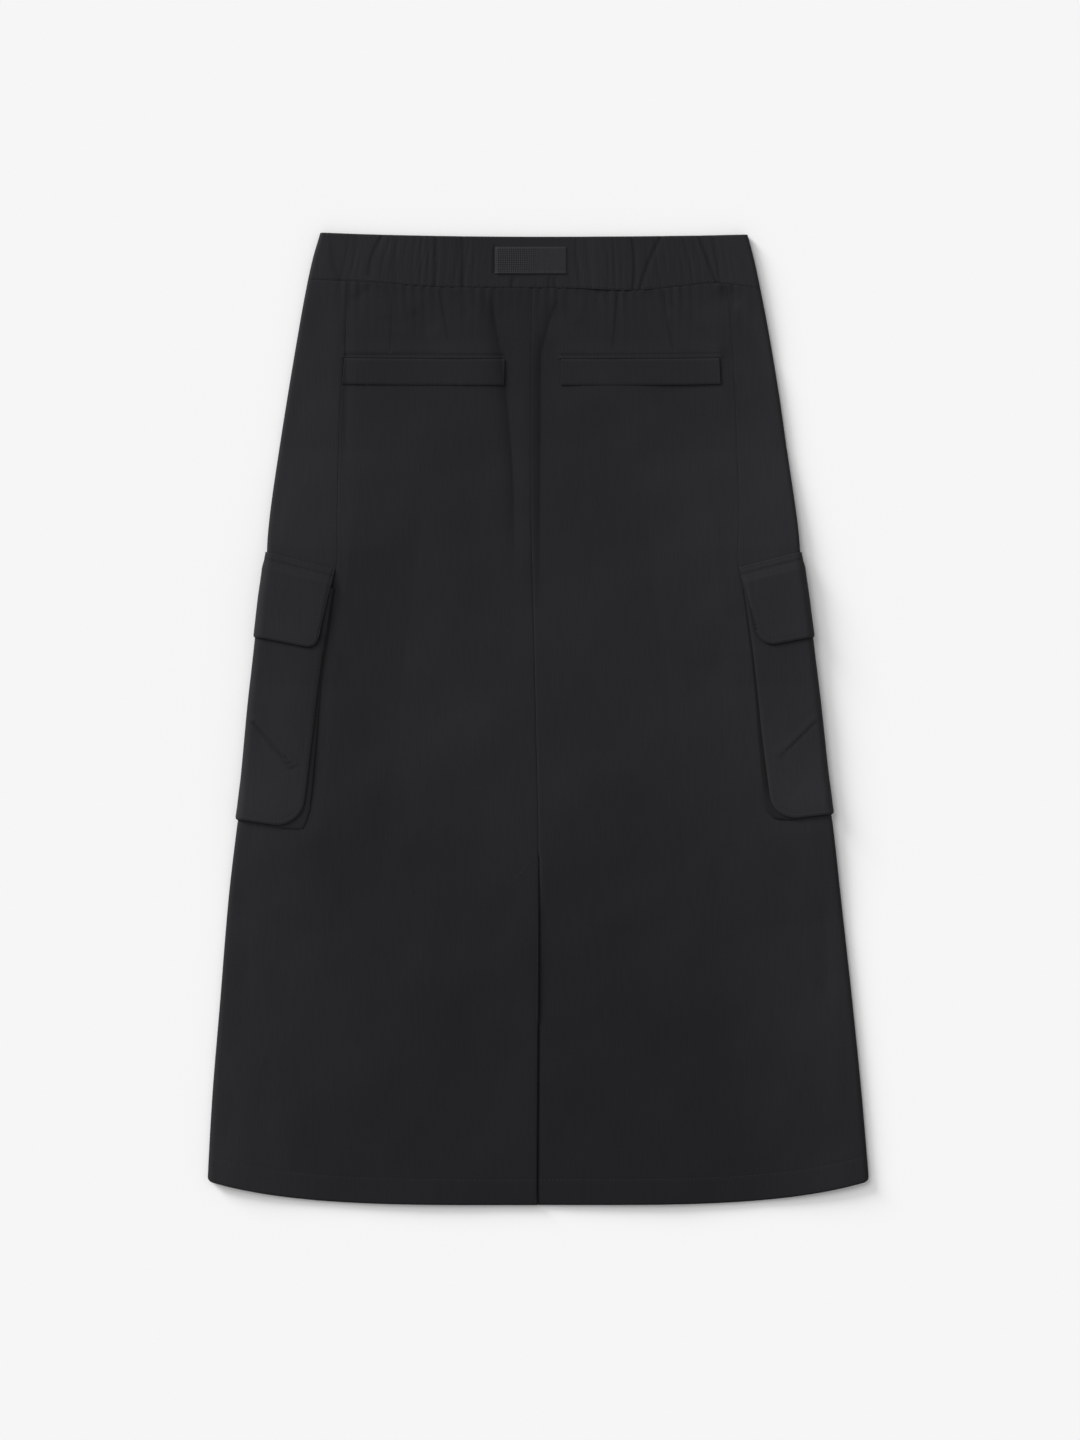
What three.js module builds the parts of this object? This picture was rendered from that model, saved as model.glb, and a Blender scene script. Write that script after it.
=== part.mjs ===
// Cargo utility skirt in tight black twill, laid flat with its back up.
//
// Units are millimetres. X runs across the skirt, Y runs up towards the waist and Z
// rises from the surface that it lies on. The origin is under the middle of the outline.
//
// The skirt is one flattened tube. A place on it is given by two numbers: "down" is the
// distance below the highest point of the waist, and "turn" is the way round the tube.
// turn is -1 at the left side fold, 0 in the middle of the back and 1 at the right side
// fold, and past the folds it runs on under the skirt, to 2 in the middle of the front.
import * as THREE from 'three';

// Driving sizes
const LENGTH = 845;
const CLOTH = 1;
const BAND_WALL = 2;
const GAP = 0.3;
const FRONT_SEAM = 0.74;
const FOLD = 0.018;

// Half widths from the middle of the outline to the two side folds
const OUTLINE = [
  { down: 0, left: 189.4, right: 181.4 },
  { down: 24, left: 196.4, right: 187.8 },
  { down: 58, left: 203.5, right: 194.9 },
  { down: 93, left: 209.7, right: 201.5 },
  { down: 145, left: 218.4, right: 210.0 },
  { down: 189, left: 225.3, right: 216.2 },
  { down: 232, left: 231.5, right: 222.5 },
  { down: 262, left: 234.8, right: 226.3 },
  { down: 290, left: 236.4, right: 228.4 },
  { down: 320, left: 240.4, right: 232.6 },
  { down: 360, left: 244.8, right: 237.6 },
  { down: 406, left: 250.0, right: 243.2 },
  { down: 493, left: 258.4, right: 252.8 },
  { down: 520, left: 262.2, right: 256.6 },
  { down: 580, left: 269.3, right: 263.3 },
  { down: 667, left: 276.5, right: 272.9 },
  { down: 754, left: 283.6, right: 281.6 },
  { down: 845, left: 288.6, right: 289.2 },
];

// Waist and hem: how far the edges bow over half the width
const WAIST_DIP = { middle: 3.5, left: 3.5, right: 1.8 };
const HEM_RISE = 21;
const HEM_POWER = 4;
const HEM_CORNER = 4;
const HEM_CORNER_SHARE = 0.02;
const HEM_CORNER_FROM = 0.8;

// Seam between the waistband and the panels, by the share of the half width
const BAND_SEAM = [
  { across: -1, down: 41 },
  { across: -0.71, down: 43.5 },
  { across: -0.43, down: 47.2 },
  { across: 0.13, down: 48.3 },
  { across: 0.41, down: 50.3 },
  { across: 0.6, down: 47.8 },
  { across: 0.8, down: 44.2 },
  { across: 0.9, down: 46 },
  { across: 1, down: 49 },
];
const SEAM_LEVEL = 46;

// Centre back seam, which wanders a little left above the vent
const CENTRE_SEAM = [
  { down: 40, x: -5 },
  { down: 119, x: -6.4 },
  { down: 235, x: -6.2 },
  { down: 400, x: -2.5 },
  { down: 543, x: 0.2 },
  { down: 845, x: -1.1 },
];

// Side back seams, by the share of the half width, down to under the cargo pockets
const SIDE_SEAM = [
  { down: 40, left: 0.83, right: 0.853 },
  { down: 97, left: 0.797, right: 0.834 },
  { down: 145, left: 0.786, right: 0.815 },
  { down: 200, left: 0.765, right: 0.795 },
  { down: 245, left: 0.748, right: 0.777 },
  { down: 290, left: 0.741, right: 0.762 },
  { down: 460, left: 0.83, right: 0.85 },
  { down: 845, left: 0.83, right: 0.85 },
];

// Rows of the panels, as shares of the way from the waistband seam to the hem
const WELT_TOP = 0.0797;
const WELT_BOTTOM = 0.1085;
const SIDE_PANEL_END = 0.52;
const VENT_TOP = 0.622;
const ROWS = [
  0, 0.018, 0.038, 0.058, WELT_TOP, WELT_BOTTOM, 0.13, 0.155, 0.18, 0.215, 0.25, 0.289, 0.325,
  0.365, 0.403, 0.44, 0.48, SIDE_PANEL_END, 0.555, 0.583, 0.605, VENT_TOP, 0.66, 0.705, 0.75,
  0.8, 0.85, 0.9, 0.95, 1,
];

// Columns between two seams, as shares of the way from the first one to the second
const FOLD_COLUMNS = [1 / 3, 2 / 3, 1];
const SIDE_COLUMNS = [0.2, 0.45, 0.72];
const LEFT_COLUMNS = [0.07, 0.15, 0.25, 0.37, 0.49, 0.6, 0.69, 0.76, 0.81, 0.86, 0.905, 0.95];
const RIGHT_COLUMNS = [0.04, 0.09, 0.148, 0.22, 0.3, 0.4, 0.5, 0.6, 0.7, 0.79, 0.87, 0.931];
const FRONT_COLUMNS = [0.12, 0.3, 0.5, 0.7, 0.88];

// Height of the upper layer over the lower one: plain, beside the waistband, at the folds
const LOFT = { plain: 4.2, waist: 1, waistReach: 60, fold: 1.8, foldFrom: 15, foldTo: 110 };

// Both layers lie over the hidden halves of the cargo pockets, and are raised there
const LIFT = [
  { share: 0.18, rise: 0 },
  { share: 0.289, rise: 3.9 },
  { share: 0.403, rise: 3.9 },
  { share: 0.44, rise: 2.6 },
  { share: 0.605, rise: 2.6 },
  { share: 0.705, rise: 0 },
];
const LIFT_REACH = { full: 72, none: 130 };

// Folds of the upper layer that hang from the waistband. Each runs from x, down to toX,
// toDown, bowed sideways in the middle. A negative depth is a ridge, and width is the half
// width of the trough.
const HUNG_FOLDS = [
  { x: -48, down: 42, toX: -20.5, toDown: 290, bow: 7, depth: 2.2, width: 6 },
  { x: 12, down: 42, toX: -3.5, toDown: 380, bow: -8, depth: 2.3, width: 5 },
  { x: -16, down: 40, toX: -12, toDown: 300, bow: 1, depth: -1, width: 9 },
  { x: -163, down: 44, toX: -168, toDown: 250, bow: 0, depth: 1.4, width: 6 },
  { x: -178, down: 46, toX: -184, toDown: 240, bow: 0, depth: -0.7, width: 10 },
  { x: 162, down: 46, toX: 202, toDown: 178, bow: 6, depth: 1.5, width: 7 },
  { x: 150, down: 60, toX: 166, toDown: 190, bow: 3, depth: -0.6, width: 12 },
];
const HUNG_FADE = { start: 0.14, end: 0.5 };

// Broad soft folds of the upper layer, in the same columns
const FOLDS = [
  { x: -168, down: 385, toX: -95, toDown: 530, bow: 0, depth: 0.8, width: 22 },
  { x: 44, down: 140, toX: 152, toDown: 282, bow: -6, depth: 0.9, width: 20 },
  { x: 78, down: 118, toX: 182, toDown: 236, bow: -6, depth: -0.6, width: 18 },
  { x: -120, down: 250, toX: -60, toDown: 420, bow: 10, depth: -0.6, width: 26 },
  { x: 70, down: 585, toX: 128, toDown: 735, bow: -8, depth: 0.9, width: 26 },
  { x: -84, down: 650, toX: -30, toDown: 800, bow: 8, depth: 0.7, width: 30 },
  { x: -170, down: 600, toX: -150, toDown: 800, bow: 4, depth: -0.7, width: 32 },
  { x: 195, down: 600, toX: 205, toDown: 800, bow: 6, depth: -0.7, width: 30 },
];
const FOLD_FADE = { start: 0.28, end: 0.28 };

// The left panel laps over the right one at the vent, on an underlap 35 mm wide
const VENT_STEP = { left: 0.3, right: 1, reach: 45, ramp: 60, down: 543 };
const UNDERLAP_COLUMNS = 3;

// Waistband: gathers on the elastic, and the places of the deepest creases
const BAND_LOFT = { plain: 5.8, fold: 1.2, foldFrom: 8, foldTo: 40 };
const BAND_ROWS = [0, 0.2, 0.47, 0.74, 1];
const BAND_JOIN = 1.03;
const GATHER = { depth: 0.42, edge: 0.6 };
const GATHERS = { left: 19, right: 20 };
const TAB = { left: -37.7, right: 25, fade: 6, columns: 12, fromRow: 1, toRow: 3, wall: 1.4 };
const CREASES = [
  { x: -181, toX: -173, bow: -3, depth: 0.9, width: 3 },
  { x: -135, toX: -147, bow: -4, depth: 1.3, width: 3 },
  { x: -124, toX: -124, bow: 0, depth: 0.5, width: 3 },
  { x: -89, toX: -90, bow: 0, depth: 0.8, width: 3.2 },
  { x: -66, toX: -66, bow: 0, depth: 0.9, width: 3.2 },
  { x: 50, toX: 50, bow: 0, depth: -0.5, width: 4 },
  { x: 81, toX: 82, bow: 2, depth: 1.2, width: 3.4 },
  { x: 107, toX: 88, bow: -2, depth: 1.3, width: 3.4 },
  { x: 139, toX: 155, bow: 0, depth: 1.2, width: 3.2 },
  { x: 151, toX: 158, bow: 0, depth: 0.7, width: 3 },
];

// Welts of the back pockets
const WELT_WALL = 1.2;

// Cargo pockets, laid round the side folds. POCKET_EDGE gives how far from the fold their
// edge on the back lies, and the rest of the width is on the underside.
const POCKET_WIDTH = 114;
const POCKET = {
  top: 294,
  bottom: { left: 509.6, right: 504.8 },
  slope: { left: 0.15, right: 0.12 },
  corner: { left: 24, right: 22 },
  puffFrom: 14,
  puffTo: 26,
};
const POCKET_EDGE = [
  { down: 290, left: 61.3, right: 53 },
  { down: 362, left: 58.5, right: 51.8 },
  { down: 440, left: 57.2, right: 52.5 },
  { down: 515, left: 55.7, right: 51.2 },
];
const POCKET_SEGMENTS = { flap: 3, step: 1, body: 4 };
const POCKET_MARGIN = 5;

// A pocket's gusset lies under the front's edge. GUSSET_SIDE gives how far it shows beside
// the front, and GUSSET_CORNER how far round the corner, by the angle in degrees.
const GUSSET_INSIDE = 9;
const GUSSET_SIDE = [
  { down: 300, shown: 1.5 },
  { down: 400, shown: 2.5 },
  { down: 460, shown: 4 },
  { down: 490, shown: 5 },
];
const GUSSET_CORNER = [
  { angle: 0, left: 5, right: 5.5 },
  { angle: 22, left: 7, right: 7.5 },
  { angle: 42, left: 11, right: 7 },
  { angle: 62, left: 4.5, right: 3 },
  { angle: 90, left: 0.7, right: 0.7 },
];
const GUSSET_BELOW = 0.7;

// Columns of what is laid round a fold: plain ones, and those of its rounded corners
const PLAIN_COLUMNS = [14, 28];
const CORNER_COLUMNS = [90, 60, 30, 0];

// Flaps: a raised stitched band runs along the top edge
const FLAP = {
  top: 277.5,
  bottom: 351.7,
  topSlope: 0.25,
  bottomSlope: 0.19,
  corner: { left: 10, right: 16 },
  back: { left: [60.3, 53.5], right: [54.5, 46.5] },
  hidden: [4, 6],
  ridge: 0.8,
  band: [0, 1.6, 3.3, 5, 6.6],
  landed: 18,
  rows: 3,
};

// Half of the distance over which a face's slope is measured
const NORMAL_STEP = 0.03;

const COLOURS = {
  cloth: 0x28282a,
  pocket: 0x29292b,
  band: 0x2a2a2c,
  webbing: 0x303032,
};

// Reads a column of a table at any place, on straight lines between its rows.
function straight(rows, key, at, column) {
  const last = rows.length - 1;
  const place = THREE.MathUtils.clamp(at, rows[0][key], rows[last][key]);
  let i = 0;
  while (i < last - 1 && rows[i + 1][key] < place) {
    i += 1;
  }
  const share = (place - rows[i][key]) / (rows[i + 1][key] - rows[i][key]);
  return THREE.MathUtils.lerp(rows[i][column], rows[i + 1][column], share);
}

// Reads a column of a table on a cubic whose slope at a row comes from its neighbours.
function smooth(rows, key, at, column) {
  const last = rows.length - 1;
  const place = THREE.MathUtils.clamp(at, rows[0][key], rows[last][key]);
  let i = 0;
  while (i < last - 1 && rows[i + 1][key] < place) {
    i += 1;
  }
  const slope = (k) => {
    const before = rows[Math.max(k - 1, 0)];
    const after = rows[Math.min(k + 1, last)];
    return (after[column] - before[column]) / (after[key] - before[key]);
  };
  const span = rows[i + 1][key] - rows[i][key];
  const s = (place - rows[i][key]) / span;
  const rise = rows[i + 1][column] - rows[i][column];
  const bend = s * (1 - s);
  const eased = s * s * (3 - 2 * s);
  return rows[i][column] + rise * eased
    + bend * span * ((1 - s) * slope(i) - s * slope(i + 1));
}

// Share of the half width, from -1 at the left fold to 1 at the right one, on either layer.
function acrossAt(turn) {
  if (turn > 1) {
    return 2 - turn;
  }
  if (turn < -1) {
    return -2 - turn;
  }
  return turn;
}

function halfWidth(across, down) {
  return smooth(OUTLINE, 'down', down, across < 0 ? 'left' : 'right');
}

function waistAt(across) {
  const dip = across < 0 ? WAIST_DIP.left : WAIST_DIP.right;
  return WAIST_DIP.middle - dip * across * across;
}

// The seam dips unevenly across the gathered back, and is straight across the front.
function bandSeamAt(turn) {
  const across = acrossAt(turn);
  if (Math.abs(turn) > 1) {
    const ends = [BAND_SEAM[0].down, BAND_SEAM[BAND_SEAM.length - 1].down];
    return THREE.MathUtils.lerp(ends[0], ends[1], (across + 1) / 2);
  }
  return smooth(BAND_SEAM, 'across', across, 'down');
}

function hemAt(across) {
  return LENGTH - HEM_RISE * Math.abs(across) ** HEM_POWER;
}

// How far the hem's corner is rounded off. It eases in over the last rows above the hem.
function cornerAt(across, share) {
  const near = Math.max(0, Math.abs(across) - 1 + HEM_CORNER_SHARE) / HEM_CORNER_SHARE;
  return HEM_CORNER * near * near * THREE.MathUtils.smoothstep(share, HEM_CORNER_FROM, 1);
}

// Distance down of a row of the panels, at a share of the way to the hem. The rows follow
// the waistband's seam at the top, and run level from the welts on.
function rowAt(turn, share) {
  const across = acrossAt(turn);
  const level = THREE.MathUtils.lerp(SEAM_LEVEL, hemAt(across), share);
  const top = (bandSeamAt(turn) - SEAM_LEVEL) * Math.max(0, 1 - share / WELT_TOP);
  return level + top - cornerAt(across, share);
}

function shareAt(across, down) {
  return (down - SEAM_LEVEL) / (hemAt(across) - SEAM_LEVEL);
}

// A soft trough along a bowed line. fade says over which shares of it the ends die away.
function trough(fold, fade, x, down) {
  const runX = fold.toX - fold.x;
  const runDown = fold.toDown - fold.down;
  const length = Math.hypot(runX, runDown);
  const along = ((x - fold.x) * runX + (down - fold.down) * runDown) / (length * length);
  if (along <= 0 || along >= 1) {
    return 0;
  }
  const aside = ((x - fold.x) * runDown - (down - fold.down) * runX) / length;
  const off = (aside - fold.bow * 4 * along * (1 - along)) / fold.width;
  const start = THREE.MathUtils.smoothstep(along, 0, fade.start);
  const end = THREE.MathUtils.smoothstep(1 - along, 0, fade.end);
  return fold.depth * start * end * Math.exp(-off * off);
}

// How far the lower layer is raised over the hidden half of a pocket.
function liftAt(across, down) {
  const fromFold = (1 - Math.abs(across)) * halfWidth(across, down);
  const near = 1 - (fromFold - LIFT_REACH.full) / (LIFT_REACH.none - LIFT_REACH.full);
  const rise = straight(LIFT, 'share', shareAt(across, down), 'rise');
  return rise * THREE.MathUtils.clamp(near, 0, 1);
}

// The left panel rides up at the vent, and the right one drops under it.
function ventStep(x, down) {
  const aside = x - smooth(CENTRE_SEAM, 'down', down, 'x');
  const open = THREE.MathUtils.smoothstep(down, VENT_STEP.down, VENT_STEP.down + VENT_STEP.ramp);
  const near = Math.exp(-((aside / VENT_STEP.reach) ** 2));
  return (aside < 0 ? VENT_STEP.left : -VENT_STEP.right) * open * near;
}

// Height of the panels' upper layer over the lower one.
function panelLoft(across, down) {
  const half = halfWidth(across, down);
  const x = across * half;
  const fromFold = half - Math.abs(x);
  const waist = LOFT.waist * Math.exp(-Math.max(0, down - BAND_SEAM[0].down) / LOFT.waistReach);
  const side = LOFT.fold * (1 - THREE.MathUtils.smoothstep(fromFold, LOFT.foldFrom, LOFT.foldTo));
  const hung = HUNG_FOLDS.reduce((sum, fold) => sum + trough(fold, HUNG_FADE, x, down), 0);
  const broad = FOLDS.reduce((sum, fold) => sum + trough(fold, FOLD_FADE, x, down), 0);
  return LOFT.plain + waist + side - hung - broad + ventStep(x, down);
}

// Small gathers on the elastic: a valley on every second column, uneven in depth.
function gatherDepth(x, index) {
  const uneven = 1 + 0.45 * Math.sin(0.19 * x + 1.3) + 0.25 * Math.sin(0.053 * x);
  return index % 2 === 0 ? 0 : GATHER.depth * uneven;
}

function creaseDepth(x, share) {
  return CREASES.reduce((sum, crease) => {
    const bow = crease.bow * 4 * share * (1 - share);
    const off = (x - THREE.MathUtils.lerp(crease.x, crease.toX, share) - bow) / crease.width;
    return sum + crease.depth * Math.exp(-off * off);
  }, 0);
}

// Height of the waistband's upper layer. The webbing holds the elastic flat under it.
function bandLoft(across, down, index) {
  const half = halfWidth(across, down);
  const x = across * half;
  const fromFold = half - Math.abs(x);
  const share = (down - waistAt(across)) / (bandSeamAt(across) - waistAt(across));
  const side = THREE.MathUtils.smoothstep(fromFold, BAND_LOFT.foldFrom, BAND_LOFT.foldTo);
  const outside = Math.max(TAB.left - x, x - TAB.right);
  const free = THREE.MathUtils.smoothstep(outside, 0, TAB.fade);
  const edge = 1 - (1 - GATHER.edge) * Math.abs(2 * share - 1);
  const relief = gatherDepth(x, index) * edge + creaseDepth(x, share);
  return BAND_LOFT.plain + BAND_LOFT.fold * (1 - side) - relief * free * side;
}

// A point of the tube's outer face. loft gives the height of the upper layer, and lift how
// far both are raised. Next to a fold the section is half an ellipse.
function tubePoint(turn, down, loft, lift) {
  const across = acrossAt(turn);
  const half = halfWidth(across, down);
  const low = lift(across, down);
  const high = low + loft(across, down);
  const near = Math.min(1, (1 - Math.abs(across)) / FOLD);
  const angle = near * Math.PI / 2;
  const inset = near < 1 ? FOLD * (1 - Math.cos(angle)) : 1 - Math.abs(across);
  const layer = Math.abs(turn) > 1 ? -1 : 1;
  const z = (low + high) / 2 + layer * Math.sin(angle) * (high - low) / 2;
  return new THREE.Vector3(Math.sign(across) * half * (1 - inset), LENGTH / 2 - down, z);
}

function panelPoint(turn, down) {
  return tubePoint(turn, down, panelLoft, liftAt);
}

// Moves a point of a face out along the face's own normal.
function movedOut(point, turn, down, out) {
  const turnStep = NORMAL_STEP / OUTLINE[0].left;
  const along = point(turn, down + NORMAL_STEP).sub(point(turn, down - NORMAL_STEP));
  const round = point(turn + turnStep, down).sub(point(turn - turnStep, down));
  const normal = along.cross(round).normalize();
  return point(turn, down).addScaledVector(normal, out);
}

// One closed wall over the cells of a grid that belong to a piece. The grid may run round
// the tube. place(i, j, nudge) gives the outer and the inner point of a grid corner, and
// nudge draws it back from the piece's edge, so that its neighbours stay clear.
function wallOver(columns, rows, around, belongs, place) {
  const corners = new Map();
  const positions = [];
  const triangles = [];
  const has = (i, j) => {
    if (j < 0 || j >= rows - 1) {
      return false;
    }
    if (around) {
      return belongs((i + columns) % columns, j);
    }
    return i >= 0 && i < columns - 1 && belongs(i, j);
  };
  const corner = (column, j) => {
    const i = around ? column % columns : column;
    const key = i * rows + j;
    if (!corners.has(key)) {
      const cells = [has(i - 1, j - 1), has(i, j - 1), has(i - 1, j), has(i, j)].map(Number);
      const nudge = {
        round: Math.sign(cells[1] + cells[3] - cells[0] - cells[2]),
        along: Math.sign(cells[2] + cells[3] - cells[0] - cells[1]),
      };
      const { outer, inner } = place(i, j, nudge);
      corners.set(key, positions.length / 3);
      positions.push(outer.x, outer.y, outer.z, inner.x, inner.y, inner.z);
    }
    return corners.get(key);
  };
  const quad = (a, b, c, d) => triangles.push(a, b, c, a, c, d);
  for (let i = 0; i < (around ? columns : columns - 1); i += 1) {
    for (let j = 0; j < rows - 1; j += 1) {
      if (!has(i, j)) {
        continue;
      }
      const [a, b, c, d] = [corner(i, j), corner(i + 1, j), corner(i + 1, j + 1), corner(i, j + 1)];
      quad(a, d, c, b);
      quad(a + 1, b + 1, c + 1, d + 1);
      if (!has(i, j - 1)) {
        quad(a, b, b + 1, a + 1);
      }
      if (!has(i + 1, j)) {
        quad(b, c, c + 1, b + 1);
      }
      if (!has(i, j + 1)) {
        quad(c, d, d + 1, c + 1);
      }
      if (!has(i - 1, j)) {
        quad(d, a, a + 1, d + 1);
      }
    }
  }
  const geometry = new THREE.BufferGeometry();
  geometry.setAttribute('position', new THREE.Float32BufferAttribute(positions, 3));
  geometry.setIndex(triangles);
  return geometry;
}

// Columns of the panels round the tube at one row, with the seams' places among them.
function panelColumns(share) {
  const nominal = rowAt(0.8, share);
  const left = smooth(SIDE_SEAM, 'down', nominal, 'left');
  const right = smooth(SIDE_SEAM, 'down', nominal, 'right');
  const centreX = smooth(CENTRE_SEAM, 'down', nominal, 'x');
  const centre = centreX / halfWidth(centreX, nominal);
  const between = (from, to, shares) => shares.map((part) => THREE.MathUtils.lerp(from, to, part));
  const foldOut = FOLD_COLUMNS.map((part) => FOLD * part);
  const foldIn = [...foldOut].reverse();
  const inward = [...SIDE_COLUMNS].reverse().map((part) => 1 - part);
  const groups = {
    underLeft: [-1 - (1 - FRONT_SEAM), ...between(-1 - (1 - FRONT_SEAM), -1 - FOLD, inward)],
    foldLeft: [...foldIn.map((part) => -1 - part), -1, ...foldOut.map((part) => -1 + part)],
    sideLeft: between(-1 + FOLD, -left, SIDE_COLUMNS),
    backLeft: [-left, ...between(-left, centre, LEFT_COLUMNS)],
    backRight: [centre, ...between(centre, right, RIGHT_COLUMNS)],
    sideRight: [right, ...between(right, 1 - FOLD, inward)],
    foldRight: [...foldIn.map((part) => 1 - part), 1, ...foldOut.map((part) => 1 + part)],
    underRight: between(1 + FOLD, 2 - FRONT_SEAM, SIDE_COLUMNS),
    front: [2 - FRONT_SEAM, ...between(2 - FRONT_SEAM, 2 + FRONT_SEAM, FRONT_COLUMNS)],
  };
  return groups;
}

const GRID = ROWS.map((share) => Object.values(panelColumns(share)).flat());
const COLUMN_COUNT = GRID[0].length;
const SEAMS = seamColumns();

// Index of the first column of each stretch of the grid.
function seamColumns() {
  const seams = {};
  let index = 0;
  for (const [name, columns] of Object.entries(panelColumns(0))) {
    seams[name] = index;
    index += columns.length;
  }
  seams.foldMiddleLeft = seams.foldLeft + FOLD_COLUMNS.length;
  seams.foldMiddleRight = seams.foldRight + FOLD_COLUMNS.length;
  return seams;
}

// A piece cut from the panels' grid, lying between two distances out from its outer face.
function panelPiece(belongs, from, to) {
  const place = (i, j, nudge) => {
    const along = GRID[j][i];
    const down = rowAt(along, ROWS[j]) + nudge.along * GAP / 2;
    const half = halfWidth(acrossAt(along), down);
    const turn = along + nudge.round * GAP / 2 / half;
    return {
      outer: movedOut(panelPoint, turn, down, to),
      inner: movedOut(panelPoint, turn, down, from),
    };
  };
  return wallOver(COLUMN_COUNT, ROWS.length, true, belongs, place);
}

const SIDE_END_ROW = ROWS.indexOf(SIDE_PANEL_END);

function backLeftPanel() {
  return panelPiece((i, j) => {
    const from = j < SIDE_END_ROW ? SEAMS.backLeft : SEAMS.foldMiddleLeft;
    return i >= from && i < SEAMS.backRight;
  }, -CLOTH, 0);
}

function backRightPanel() {
  return panelPiece((i, j) => {
    const to = j < SIDE_END_ROW ? SEAMS.sideRight : SEAMS.foldMiddleRight;
    return i >= SEAMS.backRight && i < to;
  }, -CLOTH, 0);
}

function sidePanelLeft() {
  return panelPiece((i, j) => j < SIDE_END_ROW && i < SEAMS.backLeft, -CLOTH, 0);
}

function sidePanelRight() {
  return panelPiece(
    (i, j) => j < SIDE_END_ROW && i >= SEAMS.sideRight && i < SEAMS.front, -CLOTH, 0,
  );
}

// The front panel widens to the side folds below the side panels.
function frontPanel() {
  return panelPiece((i, j) => {
    const low = j >= SIDE_END_ROW;
    return i >= SEAMS.front || (low && (i < SEAMS.foldMiddleLeft || i >= SEAMS.foldMiddleRight));
  }, -CLOTH, 0);
}

function ventUnderlap() {
  const fromRow = ROWS.indexOf(VENT_TOP);
  return panelPiece(
    (i, j) => j >= fromRow && i >= SEAMS.backRight - UNDERLAP_COLUMNS && i < SEAMS.backRight,
    -2 * CLOTH - GAP, -CLOTH - GAP,
  );
}

// A welt lies on its panel between two of the panel's columns.
function welt(fromColumn, toColumn) {
  const top = ROWS.indexOf(WELT_TOP);
  const bottom = ROWS.indexOf(WELT_BOTTOM);
  return panelPiece(
    (i, j) => j >= top && j < bottom && i >= fromColumn && i < toColumn,
    GAP, GAP + WELT_WALL,
  );
}

function weltLeft() {
  const end = SEAMS.backLeft + 1 + LEFT_COLUMNS.indexOf(0.86);
  return welt(SEAMS.backLeft, end);
}

function weltRight() {
  const start = SEAMS.backRight + 1 + RIGHT_COLUMNS.indexOf(0.148);
  const end = SEAMS.backRight + 1 + RIGHT_COLUMNS.indexOf(0.931);
  return welt(start, end);
}

// Columns round the waistband, at places given by x on the back, two to a gather.
function bandColumns(down) {
  const left = halfWidth(-1, down);
  const right = halfWidth(1, down);
  const even = (count) => Array.from({ length: count }, (unused, k) => (k + 1) / count);
  const foldOut = FOLD_COLUMNS.map((part) => FOLD * part);
  const foldIn = [...foldOut].reverse();
  const stretch = (from, to, count) => even(count).map((part) => THREE.MathUtils.lerp(from, to, part));
  return {
    joinLeft: [-BAND_JOIN],
    foldLeft: [...foldIn.map((part) => -1 - part), -1, ...foldOut.map((part) => -1 + part)],
    left: stretch(-1 + FOLD, TAB.left / left, 2 * GATHERS.left),
    tab: stretch(TAB.left / left, TAB.right / right, TAB.columns),
    right: stretch(TAB.right / right, 1 - FOLD, 2 * GATHERS.right),
    foldRight: [...foldIn.slice(1).map((part) => 1 - part), 1, ...foldOut.map((part) => 1 + part)],
    joinRight: [BAND_JOIN],
    front: stretch(BAND_JOIN, 4 - BAND_JOIN, 8).slice(0, -1),
  };
}

const BAND_GRID = BAND_ROWS.map((share) => {
  const nominal = THREE.MathUtils.lerp(waistAt(0.8), bandSeamAt(0.8), share);
  return Object.values(bandColumns(nominal)).flat();
});
const BAND_COUNT = BAND_GRID[0].length;
const TAB_START = BAND_GRID[0].findIndex((turn) => turn * halfWidth(-1, 0) > TAB.left - 1);
const BAND_BACK_END = BAND_GRID[0].indexOf(BAND_JOIN);

// A piece cut from the waistband's grid.
function bandPiece(belongs, from, to) {
  const place = (i, j, nudge) => {
    const along = BAND_GRID[j][i];
    const across = acrossAt(along);
    const row = THREE.MathUtils.lerp(waistAt(across), bandSeamAt(along), BAND_ROWS[j]);
    const down = row + nudge.along * GAP / 2;
    const turn = along + nudge.round * GAP / 2 / halfWidth(across, down);
    const point = (atTurn, atDown) => tubePoint(
      atTurn, atDown, (share, height) => bandLoft(share, height, i), () => 0,
    );
    return {
      outer: movedOut(point, turn, down, to),
      inner: movedOut(point, turn, down, from),
    };
  };
  return wallOver(BAND_COUNT, BAND_ROWS.length, true, belongs, place);
}

function waistbandBack() {
  return bandPiece((i) => i < BAND_BACK_END, -BAND_WALL, 0);
}

function waistbandFront() {
  return bandPiece((i) => i >= BAND_BACK_END, -BAND_WALL, 0);
}

// The webbing lies on the waistband's own points, moved out.
function webbingTab() {
  return bandPiece(
    (i, j) => j >= TAB.fromRow && j < TAB.toRow && i >= TAB_START && i < TAB_START + TAB.columns,
    GAP, GAP + TAB.wall,
  );
}

// Place on the tube of a point near a side fold. away is the distance from the fold in
// millimetres, and is positive on the back and negative on the underside.
function besideFold(side, away, down) {
  const sign = side === 'left' ? -1 : 1;
  return { turn: sign * (1 - away / halfWidth(sign, down)), down };
}

// Distance from the side fold to a pocket's edge, on the back and on the underside.
function pocketHalf(side, down, onBack) {
  const back = straight(POCKET_EDGE, 'down', down, side);
  return onBack ? back : POCKET_WIDTH - back;
}

// How far an edge with rounded corners draws back, from the distance to the piece's side.
function cornerRise(radius, fromSide) {
  const inside = Math.max(0, radius - fromSide);
  return radius - Math.sqrt(Math.max(0, radius * radius - inside * inside));
}

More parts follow.
